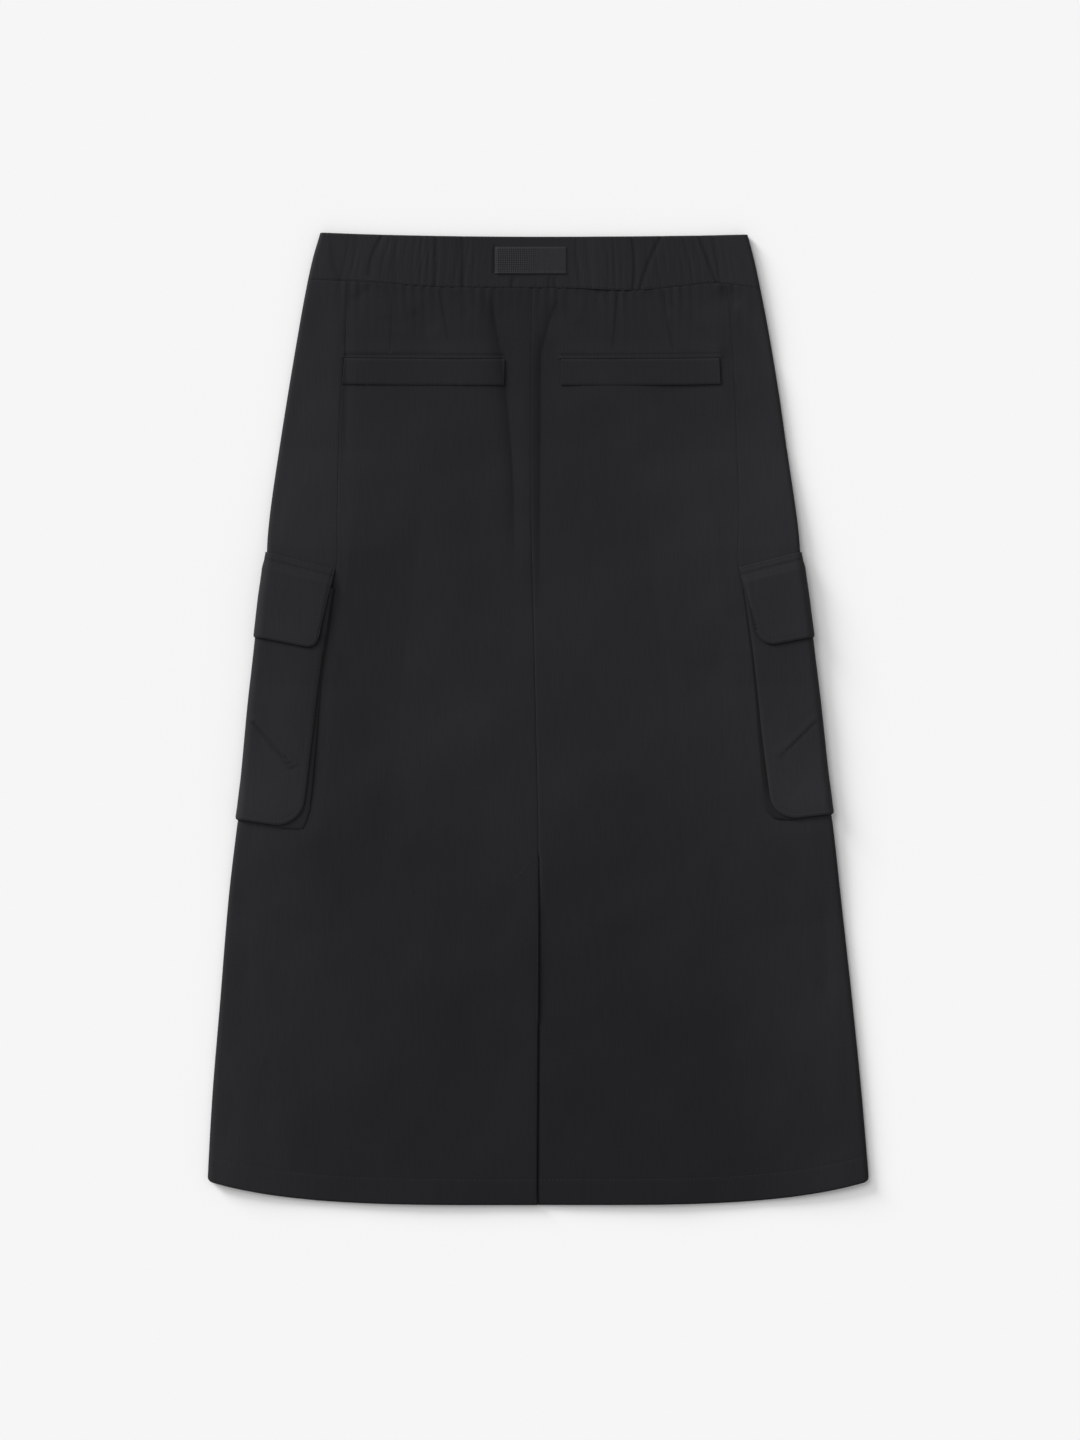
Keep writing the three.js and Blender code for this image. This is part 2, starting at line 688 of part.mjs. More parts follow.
// Distances from the fold at which a piece laid round it has its columns, at one row.
function foldAwayColumns(side, down, corner, halfAt) {
  const sign = side === 'left' ? -1 : 1;
  const arc = FOLD * halfWidth(sign, down);
  const oneSide = (onBack) => {
    const half = halfAt(onBack);
    const rounded = CORNER_COLUMNS.map((degrees) => {
      const cosine = Math.cos(THREE.MathUtils.degToRad(degrees));
      return half - corner * (1 - cosine);
    });
    return [...FOLD_COLUMNS.map((part) => arc * part), ...PLAIN_COLUMNS, ...rounded];
  };
  const under = oneSide(false).reverse().map((away) => -away);
  return [...under, 0, ...oneSide(true)];
}

// How far a pocket's front stands off the panel: it is low in the middle and raised round
// the edges, where the gusset lies under it.
function pocketOffset(side, away, down) {
  const toSide = pocketHalf(side, down, away > 0) - Math.abs(away);
  const toBottom = POCKET.bottom[side] + POCKET.slope[side] * Math.abs(away) - down;
  const margin = Math.min(toSide, toBottom);
  const puff = 1 - THREE.MathUtils.smoothstep(margin, POCKET.puffFrom, POCKET.puffTo);
  return GAP + (CLOTH + GAP) * puff;
}

// A piece laid round a side fold, on a grid of its own. rowsAt lists the distances down of
// a column's rows, and offset gives its inner face's distance out from the panel.
function foldPiece(side, nominalRows, corner, halfAt, rowsAt, offset, thickness) {
  const columnsAt = nominalRows.map(
    (down) => foldAwayColumns(side, down, corner, (onBack) => halfAt(down, onBack)),
  );
  const place = (i, j) => {
    const away = columnsAt[j][i];
    const { turn, down } = besideFold(side, away, rowsAt(away)[j]);
    const out = offset(away, down);
    const lifted = thickness(away, down);
    return {
      outer: movedOut(panelPoint, turn, down, out + lifted),
      inner: movedOut(panelPoint, turn, down, out),
    };
  };
  return wallOver(columnsAt[0].length, nominalRows.length, false, () => true, place);
}

// Rows of a pocket's front in one column: under the flap, where the panel comes down, the
// plain stretch, and the rounded margin above the bottom edge.
function pocketRows(side, away) {
  const sign = side === 'left' ? -1 : 1;
  const across = sign * (1 - Math.abs(away) / halfWidth(sign, POCKET.bottom[side]));
  const half = pocketHalf(side, POCKET.bottom[side], away > 0);
  const bottom = POCKET.bottom[side] + POCKET.slope[side] * Math.abs(away)
    - cornerRise(POCKET.corner[side], half - Math.abs(away));
  const top = POCKET.top + FLAP.topSlope * Math.abs(away);
  const steps = [rowAt(across, LIFT[2].share), rowAt(across, LIFT[3].share)];
  const stretch = (from, to, count) => Array.from(
    { length: count }, (unused, k) => THREE.MathUtils.lerp(from, to, k / count),
  );
  const margin = [POCKET.puffTo, POCKET.puffFrom, POCKET_MARGIN, 0].map((up) => bottom - up);
  return [
    ...stretch(top, steps[0], POCKET_SEGMENTS.flap),
    ...stretch(steps[0], steps[1], POCKET_SEGMENTS.step),
    ...stretch(steps[1], margin[0], POCKET_SEGMENTS.body),
    ...margin,
  ];
}

function pocketFront(side) {
  return foldPiece(
    side,
    pocketRows(side, 0),
    POCKET.corner[side],
    (down, onBack) => pocketHalf(side, down, onBack),
    (away) => pocketRows(side, away),
    (away, down) => pocketOffset(side, away, down),
    () => CLOTH,
  );
}

// Rows of a flap in one column: the stitched band, then down to the rounded bottom edge.
function flapRows(side, away) {
  const half = flapHalf(side, FLAP.bottom, away > 0);
  const top = FLAP.top + FLAP.topSlope * Math.abs(away);
  const bottom = FLAP.bottom + FLAP.bottomSlope * Math.abs(away)
    - cornerRise(FLAP.corner[side], half - Math.abs(away));
  const landed = top + FLAP.landed;
  const rest = Array.from(
    { length: FLAP.rows + 1 }, (unused, k) => THREE.MathUtils.lerp(landed, bottom, k / FLAP.rows),
  );
  return [...FLAP.band.map((below) => top + below), ...rest];
}

// A flap tapers towards its bottom, where it is narrower than its pocket.
function flapHalf(side, down, onBack) {
  const share = THREE.MathUtils.clamp((down - FLAP.top) / (FLAP.bottom - FLAP.top), 0, 1);
  if (onBack) {
    return THREE.MathUtils.lerp(...FLAP.back[side], share);
  }
  return pocketHalf(side, down, onBack) - THREE.MathUtils.lerp(...FLAP.hidden, share);
}

function flap(side) {
  const onPanel = (away, down) => {
    const below = down - FLAP.top - FLAP.topSlope * Math.abs(away);
    const landed = THREE.MathUtils.clamp((below - 2) / (FLAP.landed - 6), 0, 1);
    return GAP + landed * (pocketOffset(side, away, down) + CLOTH);
  };
  const wall = (away, down) => {
    const below = down - FLAP.top - FLAP.topSlope * Math.abs(away);
    const band = Math.sin(Math.PI * THREE.MathUtils.clamp(below / FLAP.band[4], 0, 1));
    const onBack = THREE.MathUtils.smoothstep(away, -4, 4);
    return CLOTH + FLAP.ridge * band * onBack;
  };
  return foldPiece(
    side,
    flapRows(side, 0),
    FLAP.corner[side],
    (down, onBack) => flapHalf(side, down, onBack),
    (away) => flapRows(side, away),
    onPanel,
    wall,
  );
}

// The gusset is a strip under the pocket front's edge: down the back, round the bottom and
// up the underside. A station has the edge's place, the way out of the pocket there, and
// how far the strip shows beyond the edge.
function gussetStations(side) {
  const bottom = POCKET.bottom[side];
  const slope = POCKET.slope[side];
  const corner = POCKET.corner[side];
  const lowest = bottom + slope * POCKET_WIDTH / 2 - corner - POCKET_MARGIN;
  const downSide = pocketRows(side, POCKET_WIDTH / 2).filter((down) => down < lowest);
  const upright = (onBack) => [...downSide, lowest].map((down) => ({
    shown: straight(GUSSET_SIDE, 'down', down, 'shown'),
    at: (out) => ({ away: (pocketHalf(side, down, onBack) + out) * (onBack ? 1 : -1), down }),
  }));
  const round = (onBack) => GUSSET_CORNER.map((row) => {
    const angle = THREE.MathUtils.degToRad(row.angle);
    const half = pocketHalf(side, bottom, onBack);
    const at = (out) => {
      const away = half - corner + (corner + out) * Math.cos(angle);
      const down = bottom + slope * away - corner + (corner + out) * Math.sin(angle);
      return { away: away * (onBack ? 1 : -1), down };
    };
    return { shown: row[side], at };
  });
  const sign = side === 'left' ? -1 : 1;
  const arc = FOLD * halfWidth(sign, bottom);
  const oneSide = [...FOLD_COLUMNS.map((part) => arc * part), ...PLAIN_COLUMNS];
  const level = [...[...oneSide].reverse(), 0, ...oneSide.map((away) => -away)];
  const along = level.map((away) => ({
    shown: GUSSET_BELOW,
    at: (out) => ({ away, down: bottom + slope * Math.abs(away) + out }),
  }));
  return [
    ...upright(true), ...round(true), ...along, ...round(false).reverse(), ...upright(false).reverse(),
  ];
}

function gusset(side) {
  const stations = gussetStations(side);
  const place = (i, j) => {
    const widths = [-GUSSET_INSIDE, -GUSSET_INSIDE / 3, stations[i].shown];
    const { away, down } = stations[i].at(widths[j]);
    const { turn } = besideFold(side, away, down);
    return {
      outer: movedOut(panelPoint, turn, down, GAP + CLOTH),
      inner: movedOut(panelPoint, turn, down, GAP),
    };
  };
  return wallOver(stations.length, 3, false, () => true, place);
}

// Turns a closed mesh whose faces point inwards the right way round.
function facingOut(geometry) {
  const position = geometry.getAttribute('position');
  const index = geometry.getIndex().array;
  const [a, b, c] = [new THREE.Vector3(), new THREE.Vector3(), new THREE.Vector3()];
  let volume = 0;
  for (let k = 0; k < index.length; k += 3) {
    a.fromBufferAttribute(position, index[k]);
    b.fromBufferAttribute(position, index[k + 1]);
    c.fromBufferAttribute(position, index[k + 2]);
    volume += a.dot(b.cross(c));
  }
  if (volume < 0) {
    geometry.setIndex(Array.from(index).reverse());
  }
  geometry.computeVertexNormals();
  return geometry;
}

const skirt = new THREE.Group();
skirt.name = 'cargo_utility_skirt';

function add(name, geometry, color, roughness) {
  const material = new THREE.MeshStandardMaterial({ color, roughness, metalness: 0 });
  const mesh = new THREE.Mesh(facingOut(geometry), material);
  mesh.name = name;
  skirt.add(mesh);
}

add('waistband_back', waistbandBack(), COLOURS.band, 0.85);
add('waistband_front', waistbandFront(), COLOURS.band, 0.85);
add('webbing_tab', webbingTab(), COLOURS.webbing, 0.8);
add('back_panel_left', backLeftPanel(), COLOURS.cloth, 0.85);
add('back_panel_right', backRightPanel(), COLOURS.cloth, 0.85);
add('vent_underlap', ventUnderlap(), COLOURS.cloth, 0.85);
add('side_panel_left', sidePanelLeft(), COLOURS.cloth, 0.85);
add('side_panel_right', sidePanelRight(), COLOURS.cloth, 0.85);
add('front_panel', frontPanel(), COLOURS.cloth, 0.85);
add('welt_left', weltLeft(), COLOURS.cloth, 0.85);
add('welt_right', weltRight(), COLOURS.cloth, 0.85);
for (const side of ['left', 'right']) {
  add(`cargo_pocket_${side}`, pocketFront(side), COLOURS.pocket, 0.85);
  add(`cargo_gusset_${side}`, gusset(side), COLOURS.pocket, 0.85);
  add(`cargo_flap_${side}`, flap(side), COLOURS.pocket, 0.85);
}

export default skirt;
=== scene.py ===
"""Looks of a cargo utility skirt in tight black twill, laid flat with its back up.

The skirt is one flattened tube, as in the part's source. A place on it is given by two
numbers: "down" is the distance below the highest point of the waist, and "turn" is the way
round the tube. turn is -1 at the left side fold, 0 in the middle of the back, 1 at the
right side fold and 2 in the middle of the front, which lies underneath. "share" is the
part of the way from the waistband's seam down to the hem.

Sizes are in millimetres. They become metres where a mesh is finished.
"""
import logging
import math
from dataclasses import dataclass, field, replace
from enum import Enum
from typing import Callable, NamedTuple, Sequence

import bmesh
import bpy
import numpy as np
from mathutils import Matrix, Vector


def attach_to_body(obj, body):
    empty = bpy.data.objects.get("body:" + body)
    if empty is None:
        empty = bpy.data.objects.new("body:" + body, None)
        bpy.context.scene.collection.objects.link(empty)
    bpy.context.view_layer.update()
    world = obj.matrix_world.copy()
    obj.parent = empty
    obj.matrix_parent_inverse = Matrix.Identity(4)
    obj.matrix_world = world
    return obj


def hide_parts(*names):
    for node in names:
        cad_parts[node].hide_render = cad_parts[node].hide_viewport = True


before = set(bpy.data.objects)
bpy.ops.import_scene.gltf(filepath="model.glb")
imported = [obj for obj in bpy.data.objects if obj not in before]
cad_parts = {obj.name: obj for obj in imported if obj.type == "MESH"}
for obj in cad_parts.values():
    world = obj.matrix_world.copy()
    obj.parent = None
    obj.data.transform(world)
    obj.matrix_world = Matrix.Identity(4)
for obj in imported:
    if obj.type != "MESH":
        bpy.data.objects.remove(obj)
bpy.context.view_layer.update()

METRES = 0.001
CLOTH = 0.8
GAP = 0.3
SEAM_GAP = 0.08
UV_NAME = "cloth"
# the mesh attribute with each place's tone, mostly painted light and shade
TONE_NAME = "painted_light_and_tone"

Numbers = np.ndarray
Field = Callable[[Numbers, Numbers], Numbers]
log = logging.getLogger("skirt")


class Side(Enum):
    """A side of the skirt as it lies, with the sign of x there."""

    LEFT = -1
    RIGHT = 1


class Slot(Enum):
    """Material slots of the record."""

    TWILL = "twill"
    WEBBING = "webbing"


class Held(Enum):
    """How a sheet of cloth is held."""

    LAID = "laid"
    FOLDED = "folded"
    GATHERED = "gathered"


def smoothstep(value: Numbers, low: float, high: float) -> Numbers:
    """Eases from 0 at low to 1 at high."""
    share = np.clip((value - low) / (high - low), 0, 1)
    return share * share * (3 - 2 * share)


def blend(first: Numbers, second: Numbers, share: Numbers) -> Numbers:
    """Goes on a straight line from the first value to the second."""
    return first + (second - first) * share


def plateau(value: Numbers, start: float, full: float, last: float, end: float) -> Numbers:
    """Eases from 0 at start to 1 at full, stays there to last, and eases back to 0 at end."""
    return smoothstep(value, start, full) * (1 - smoothstep(value, last, end))


def bell(offset: Numbers, width: float) -> Numbers:
    """Falls on both sides of 0, where it is 1, on a bell curve."""
    return np.exp(-(offset / width) ** 2)


@dataclass(frozen=True)
class Curve:
    """A size that changes along a line, read on a cubic through its points."""

    places: tuple[float, ...]
    sizes: tuple[float, ...]

    def read(self, place: Numbers) -> Numbers:
        """Reads the size at any place.

        Args:
            place: where along the line.

        Returns:
            The size there, with each point's slope taken from its neighbours.
        """
        at, size = np.array(self.places, float), np.array(self.sizes, float)
        count = len(at)
        after = np.minimum(np.arange(count) + 1, count - 1)
        before = np.maximum(np.arange(count) - 1, 0)
        slopes = (size[after] - size[before]) / (at[after] - at[before])
        place = np.clip(place, at[0], at[-1])
        i = np.clip(np.searchsorted(at, place) - 1, 0, count - 2)
        span = at[i + 1] - at[i]
        s = (place - at[i]) / span
        bend = s * (1 - s) * span * ((1 - s) * slopes[i] - s * slopes[i + 1])
        return size[i] + (size[i + 1] - size[i]) * s * s * (3 - 2 * s) + bend


@dataclass(frozen=True)
class Crease:
    """A soft trough along a bowed line. A negative depth makes a ridge.

    It runs from x, down to to_x, to_down and is bowed sideways in its middle. width is its
    half width, and start and end are the shares of its length over which it dies away.
    right is how many times wider its right flank is than its left one. edge is the power of
    its fall: 2 for a round trough, near 1 for a sharp one.
    """

    x: float
    down: float
    to_x: float
    to_down: float
    bow: float
    depth: float
    width: float
    start: float = 0.28
    end: float = 0.28
    right: float = 1
    edge: float = 2

    def sunk(self, x: Numbers, down: Numbers) -> Numbers:
        """How deep the trough is at each place.

        Args:
            x: places across the skirt.
            down: distances below the waist.

        Returns:
            The depth at each place.
        """
        run_x, run_down = self.to_x - self.x, self.to_down - self.down
        length = math.hypot(run_x, run_down)
        along = ((x - self.x) * run_x + (down - self.down) * run_down) / length ** 2
        aside = ((x - self.x) * run_down - (down - self.down) * run_x) / length
        inside = np.clip(along, 0, 1)
        off = (aside - self.bow * 4 * inside * (1 - inside)) / self.width
        off = np.where(off > 0, off / self.right, -off)
        ends = smoothstep(inside, 0, self.start) * smoothstep(1 - inside, 0, self.end)
        return self.depth * ends * np.exp(-off ** self.edge)


@dataclass(frozen=True)
class BandCrease:
    """A crease from the waistband's top edge, at x, to its bottom edge, at to_x.

    Its right flank is the wider one, because the gathers there lean to the left.
    top and bottom are the shares of the band's height between which it shows, right is how
    many times wider its right flank is, and fade the share over which it ends.
    """

    x: float
    to_x: float
    bow: float
    depth: float
    width: float
    top: float = -0.2
    bottom: float = 1.2
    right: float = 2.2
    fade: float = 0.12

    def sunk(self, x: Numbers, share: Numbers) -> Numbers:
        """How deep the crease is at each place, by the share of the band's height."""
        bow = self.bow * 4 * share * (1 - share)
        off = (x - blend(self.x, self.to_x, share) - bow) / self.width
        off = np.where(off > 0, off / self.right, off)
        shown = smoothstep(share, self.top, self.top + self.fade)
        shown = shown * (1 - smoothstep(share, self.bottom - self.fade, self.bottom))
        return self.depth * shown * np.exp(-off * off)


# Half widths of the outline, and the seams, by the distance down
OUTLINE_DOWN = (0, 24, 58, 93, 145, 189, 232, 262, 290, 320, 360, 406, 493, 520, 580, 667, 754, 845)
SIDE_SEAM_DOWN = (40, 97, 145, 200, 245, 290, 460, 845)

# The main folds: those that hang from the waistband, and then broad ones. The part's source
# has them too, the hanging ones with even flanks and up to a few millimetres aside.
FOLDS = (
    Crease(-44.5, 42, -23.5, 320, 9.5, 2.0, 6, 0.12, 0.4, 5, 1.2),
    Crease(19, 54, 1, 118, -3, 1.2, 5, 0.3, 0.4, 5, 1.2),
    Crease(2.2, 84, 0, 360, 0, 1.9, 5, 0.14, 0.5, 5, 1.2),
    Crease(-16, 40, -12, 300, 1, -0.3, 9, 0.14, 0.5),
    Crease(-166, 44, -169, 240, 0, 1.0, 3.4, 0.3, 0.5, 2, 1.4),
    Crease(-168, 46, -172, 240, 0, -0.6, 13, 0.2, 0.5),
    Crease(158, 46, 208, 130, 4, 1.3, 9, 0.14, 0.3),
    Crease(150, 60, 166, 190, 3, -0.6, 12, 0.14, 0.5),
    Crease(-168, 385, -95, 530, 0, 0.8, 22),
    Crease(44, 140, 152, 282, -6, 0.9, 20),
    Crease(78, 118, 182, 236, -6, -0.6, 18),
    Crease(-120, 250, -60, 420, 10, -0.6, 26),
    Crease(70, 585, 128, 735, -8, 0.9, 26),
    Crease(-84, 650, -30, 800, 8, 0.7, 30),
    Crease(-170, 600, -150, 800, 4, -0.7, 32),
    Crease(195, 600, 205, 800, 6, -0.7, 30),
)

# The sharp lines of the first three folds, beside which the panels' nets are finer
FOLD_LINES = tuple(replace(fold, width=1.3, right=1, edge=2) for fold in FOLDS[:3])

# Small drag folds under the waistband and beside the pockets
DRAG_FOLDS = (
    Crease(-143, 44, -168, 62, 2, 0.6, 4, 0.28, 0.28, 2.5, 1.4),
    Crease(-113, 68, -93, 91, 2, 0.6, 5, 0.28, 0.28, 2.5, 1.4),
    Crease(-139, 74, -112, 84, 1, 0.3, 5),
    Crease(-73, 50, -60, 76, 3, 0.5, 5),
    Crease(90, 48, 118, 74, 2, 0.55, 5),
    Crease(112, 47, 150, 88, -2, -0.45, 5),
    Crease(38, 52, 30, 84, 2, -0.4, 6),
    Crease(157, 45, 176, 66, 0, 0.7, 5),
    Crease(161, 98, 176, 150, 1, 0.5, 4, 0.28, 0.28, 2, 1.4),
    Crease(-205, 70, -216, 130, 1, -0.4, 7),
    Crease(-188, 318, -166, 400, 5, 0.5, 9),
    Crease(172, 320, 160, 392, -4, 0.4, 9),
    Crease(-196, 520, -150, 590, 4, 0.45, 12),
    Crease(186, 512, 150, 580, -4, 0.4, 12),
    Crease(-2, 543, -60, 640, 6, 0.3, 12),
    Crease(4, 545, 48, 630, -5, 0.35, 12),
    Crease(-262, 560, -252, 680, 2, 0.5, 8),
    Crease(256, 560, 250, 690, -2, 0.5, 8),
    Crease(-231, 700, -240, 835, -3, 0.45, 12),
    Crease(236, 690, 247, 830, 3, 0.4, 12),
)

# Sewn lines, narrow and even from end to end: two darts, then the stitches over the welt,
# on the left panel and then on the right one
SEWN_LEFT = (
    Crease(-86.4, 48.3, -78, 95.4, 0, 0.26, 0.9, 0.1, 0.1, 3, 1.4),
    Crease(-128.2, 50, -129, 105, 1, 0.2, 0.9, 0.1, 0.1, 3, 1.4),
    Crease(-171, 106.4, -29, 106.4, 0, 0.3, 0.8, 0.02, 0.02),
)
SEWN_RIGHT = (
    Crease(69.1, 51, 64.1, 103.5, 0, 0.28, 0.9, 0.1, 0.1, 3, 1.4),
    Crease(109.7, 50, 118.4, 104, -2, 0.22, 0.9, 0.1, 0.1, 3, 1.4),
    Crease(17, 106.8, 160, 105.4, 0, 0.3, 0.8, 0.02, 0.02),
)

# Soft folds of the front, pushed up into it where it lies underneath
FRONT_FOLDS = (
    Crease(-92, 60, -104, 430, 8, 0.7, 14),
    Crease(64, 60, 58, 380, -6, 0.8, 12),
    Crease(34, 55, 28, 330, 4, 0.6, 10),
    Crease(150, 240, 60, 520, 9, 0.5, 24),
    Crease(-60, 520, -120, 790, -8, 0.6, 28),
    Crease(110, 560, 150, 800, 6, 0.6, 28),
)

# Deep creases of the waistband
BAND_CREASES = (
    BandCrease(-181, -173, -3, 0.45, 1.5),
    BandCrease(-135, -147, -4, 0.45, 1.4, -0.2, 0.95),
    BandCrease(-124, -124, 0, 0.25, 1.5),
    BandCrease(-89, -90, 0, 0.4, 1.5),
    BandCrease(-66, -66, 0, 0.5, 1.4),
    BandCrease(50, 50, 0, -0.3, 4),
    BandCrease(81, 82, 2, 0.6, 1.2),
    BandCrease(107, 88, -2, 0.5, 1.3),
    BandCrease(139, 155, 0, 0.65, 1.2),
    BandCrease(151, 158, 0, 0.4, 1.1),
)

# The slot at the webbing's left end, and the small creases below the webbing
TAB_CREASES = (
    BandCrease(-38.6, -38.6, 0, 0.7, 0.9, 0.14, 0.8),
    BandCrease(-21, -23, 0, 0.55, 1.5, 0.74),
    BandCrease(8, 9.5, 0, 0.5, 1.3, 0.74),
    BandCrease(15, 14, 0, 0.45, 1.3, 0.74),
)


class Ripple(NamedTuple):
    """One of the long low waves of cloth that was ironed and then laid down."""

    height: float
    length: float
    heading: float
    phase: float


RIPPLES = (
    Ripple(0.34, 131, 48, 0.4),
    Ripple(0.2, 94, 137, 2.1),
    Ripple(0.1, 61, 66, 4.0),
    Ripple(0.04, 42, 22, 1.2),
)


@dataclass(frozen=True)
class Tube:
    """The skirt's outline and the heights of its two layers."""

    length: float = 845
    fold: float = 0.018
    left: Curve = Curve(OUTLINE_DOWN, (
        189.4, 196.4, 203.5, 209.7, 218.4, 225.3, 231.5, 234.8, 236.4, 240.4, 244.8, 250.0,
        258.4, 262.2, 269.3, 276.5, 283.6, 288.6,
    ))
    right: Curve = Curve(OUTLINE_DOWN, (
        181.4, 187.8, 194.9, 201.5, 210.0, 216.2, 222.5, 226.3, 228.4, 232.6, 237.6, 243.2,
        252.8, 256.6, 263.3, 272.9, 281.6, 289.2,
    ))
    band_seam: Curve = Curve(
        (-1, -0.71, -0.43, 0.13, 0.41, 0.6, 0.8, 0.9, 1),
        (41, 43.5, 47.2, 48.3, 50.3, 47.8, 44.2, 46, 49),
    )
    seam_level: float = 46
    welt_top: float = 0.0797
    centre: Curve = Curve((40, 119, 235, 400, 543, 845), (-5, -6.4, -6.2, -2.5, 0.2, -1.1))
    side_left: Curve = Curve(SIDE_SEAM_DOWN, (0.83, 0.797, 0.786, 0.765, 0.748, 0.741, 0.83, 0.83))
    side_right: Curve = Curve(
        SIDE_SEAM_DOWN, (0.853, 0.834, 0.815, 0.795, 0.777, 0.762, 0.85, 0.85),
    )
    waist_middle: float = 3.5
    waist_right_dip: float = 1.8
    hem_rise: float = 21
    hem_corner: float = 4
    hem_corner_share: float = 0.02
    hem_corner_from: float = 0.8
    loft: float = 4.2
    vent_down: float = 543
    vent_share: float = 0.622
    front_seam: float = 0.74
    side_end: float = 0.52
    fold_rise: float = 1.8
    fold_from: float = 15
    fold_to: float = 110
    waist_reach: float = 60
    vent_rise: float = 0.3
    vent_drop: float = 1.0
    vent_ease: float = 60
    vent_reach: float = 45
    lift_full: float = 72
    lift_none: float = 130
    lift_shares: tuple[float, ...] = (0.18, 0.289, 0.403, 0.44, 0.605, 0.705)
    lift_rises: tuple[float, ...] = (0, 3.9, 3.9, 2.6, 2.6, 0)

    def across(self, turn: Numbers) -> Numbers:
        """Share of the half width, from -1 at the left fold to 1 at the right one."""
        return np.where(turn > 1, 2 - turn, np.where(turn < -1, -2 - turn, turn))

    def half(self, across: Numbers, down: Numbers) -> Numbers:
        """Half width of the outline on that side."""
        return np.where(across < 0, self.left.read(down), self.right.read(down))

    def waist(self, across: Numbers) -> Numbers:
        """Distance down of the waist's edge."""
        dip = np.where(across < 0, self.waist_middle, self.waist_right_dip)
        return self.waist_middle - dip * across ** 2

    def seam(self, turn: Numbers) -> Numbers:
        """Distance down of the waistband's seam, which is straight across the front."""
        across = self.across(turn)
        ends = self.band_seam.sizes
        under = blend(ends[0], ends[-1], (across + 1) / 2)
        return np.where(np.abs(turn) > 1, under, self.band_seam.read(across))

    def hem(self, across: Numbers) -> Numbers:
        """Distance down of the hem, before its corners are rounded off."""
        return self.length - self.hem_rise * np.abs(across) ** 4

    def corner(self, across: Numbers, share: Numbers) -> Numbers:
        """How far the hem's corner is rounded off, easing in over the last rows."""
        near = np.maximum(0, np.abs(across) - 1 + self.hem_corner_share) / self.hem_corner_share
        return self.hem_corner * near ** 2 * smoothstep(share, self.hem_corner_from, 1)

    def row(self, turn: Numbers, share: Numbers) -> Numbers:
        """Distance down of a row of the panels.

        Args:
            turn: the way round the tube.
            share: the part of the way from the waistband's seam to the hem.

        Returns:
            The distance down. The rows follow the seam at the top, and run level from the
            welts on.
        """
        across = self.across(turn)
        level = blend(self.seam_level, self.hem(across), share)
        top = (self.seam(turn) - self.seam_level) * np.maximum(0, 1 - share / self.welt_top)
        return level + top - self.corner(across, share)

    def share(self, across: Numbers, down: Numbers) -> Numbers:
        """Share of the way to the hem of a place below the welts."""
        return (down - self.seam_level) / (self.hem(across) - self.seam_level)

    def lift(self, across: Numbers, down: Numbers) -> Numbers:
        """How far both layers are raised by the hidden halves of the cargo pockets."""
        from_fold = (1 - np.abs(across)) * self.half(across, down)
        near = np.clip(1 - (from_fold - self.lift_full) / (self.lift_none - self.lift_full), 0, 1)
        return near * np.interp(self.share(across, down), self.lift_shares, self.lift_rises)

    def vent_step(self, x: Numbers, down: Numbers) -> Numbers:
        """The left panel rides up at the vent, and the right one drops under it."""
        aside = x - self.centre.read(down)
        opened = smoothstep(down, self.vent_down, self.vent_down + self.vent_ease)
        near = bell(aside, self.vent_reach)
        return np.where(aside < 0, self.vent_rise, -self.vent_drop) * opened * near

    def panel_loft(self, across: Numbers, down: Numbers) -> Numbers:
        """Height of the panels' upper layer over the lower one, with the main folds."""
        half = self.half(across, down)
        x = across * half
        from_fold = half - np.abs(x)
        waist = np.exp(-np.maximum(0, down - self.band_seam.sizes[0]) / self.waist_reach)
        side = self.fold_rise * (1 - smoothstep(from_fold, self.fold_from, self.fold_to))
        folds = sum(fold.sunk(x, down) for fold in FOLDS)
        return self.loft + waist + side - folds + self.vent_step(x, down)

    def point(self, turn: Numbers, down: Numbers, loft: Field, lift: Field) -> Numbers:
        """Places of the tube's outer face.

        Args:
            turn: the way round the tube.
            down: distances below the waist.
            loft: height of the upper layer over the lower one.
            lift: how far both are raised.

        Returns:
            One x, y, z row for each place. Next to a fold the section is half an ellipse.
        """
        across = self.across(turn)
        low = lift(across, down)
        high = low + loft(across, down)
        near = np.minimum(1, (1 - np.abs(across)) / self.fold)
        angle = near * math.pi / 2
        inset = np.where(near < 1, self.fold * (1 - np.cos(angle)), 1 - np.abs(across))
        layer = np.where(np.abs(turn) > 1, -1, 1)
        z = (low + high) / 2 + layer * np.sin(angle) * (high - low) / 2
        x = np.sign(across) * self.half(across, down) * (1 - inset)
        return np.stack([x, self.length / 2 - down, z], axis=-1)


TUBE = Tube()


@dataclass(frozen=True)
class Surface:
    """A face of the tube that pieces of cloth are laid on."""

    loft: Field
    lift: Field
    step: float = 0.05

    def point(self, turn: Numbers, down: Numbers) -> Numbers:
        """Places on the face itself."""
        return TUBE.point(turn, down, self.loft, self.lift)

    def normal(self, turn: Numbers, down: Numbers) -> Numbers:
        """Directions straight out of the face."""
        turn_step = self.step / TUBE.left.sizes[0]
        along = self.point(turn, down + self.step) - self.point(turn, down - self.step)
        around = self.point(turn + turn_step, down) - self.point(turn - turn_step, down)
        normal = np.cross(along, around)
        return normal / np.linalg.norm(normal, axis=-1, keepdims=True)

    def out(self, turn: Numbers, down: Numbers, distance: Numbers) -> Numbers:
        """Places moved straight out from the face.

        Args:
            turn: the way round the tube.
            down: distances below the waist.
            distance: how far out each place is.

        Returns:
            One x, y, z row for each place.
        """
        return self.point(turn, down) + self.normal(turn, down) * np.asarray(distance)[..., None]


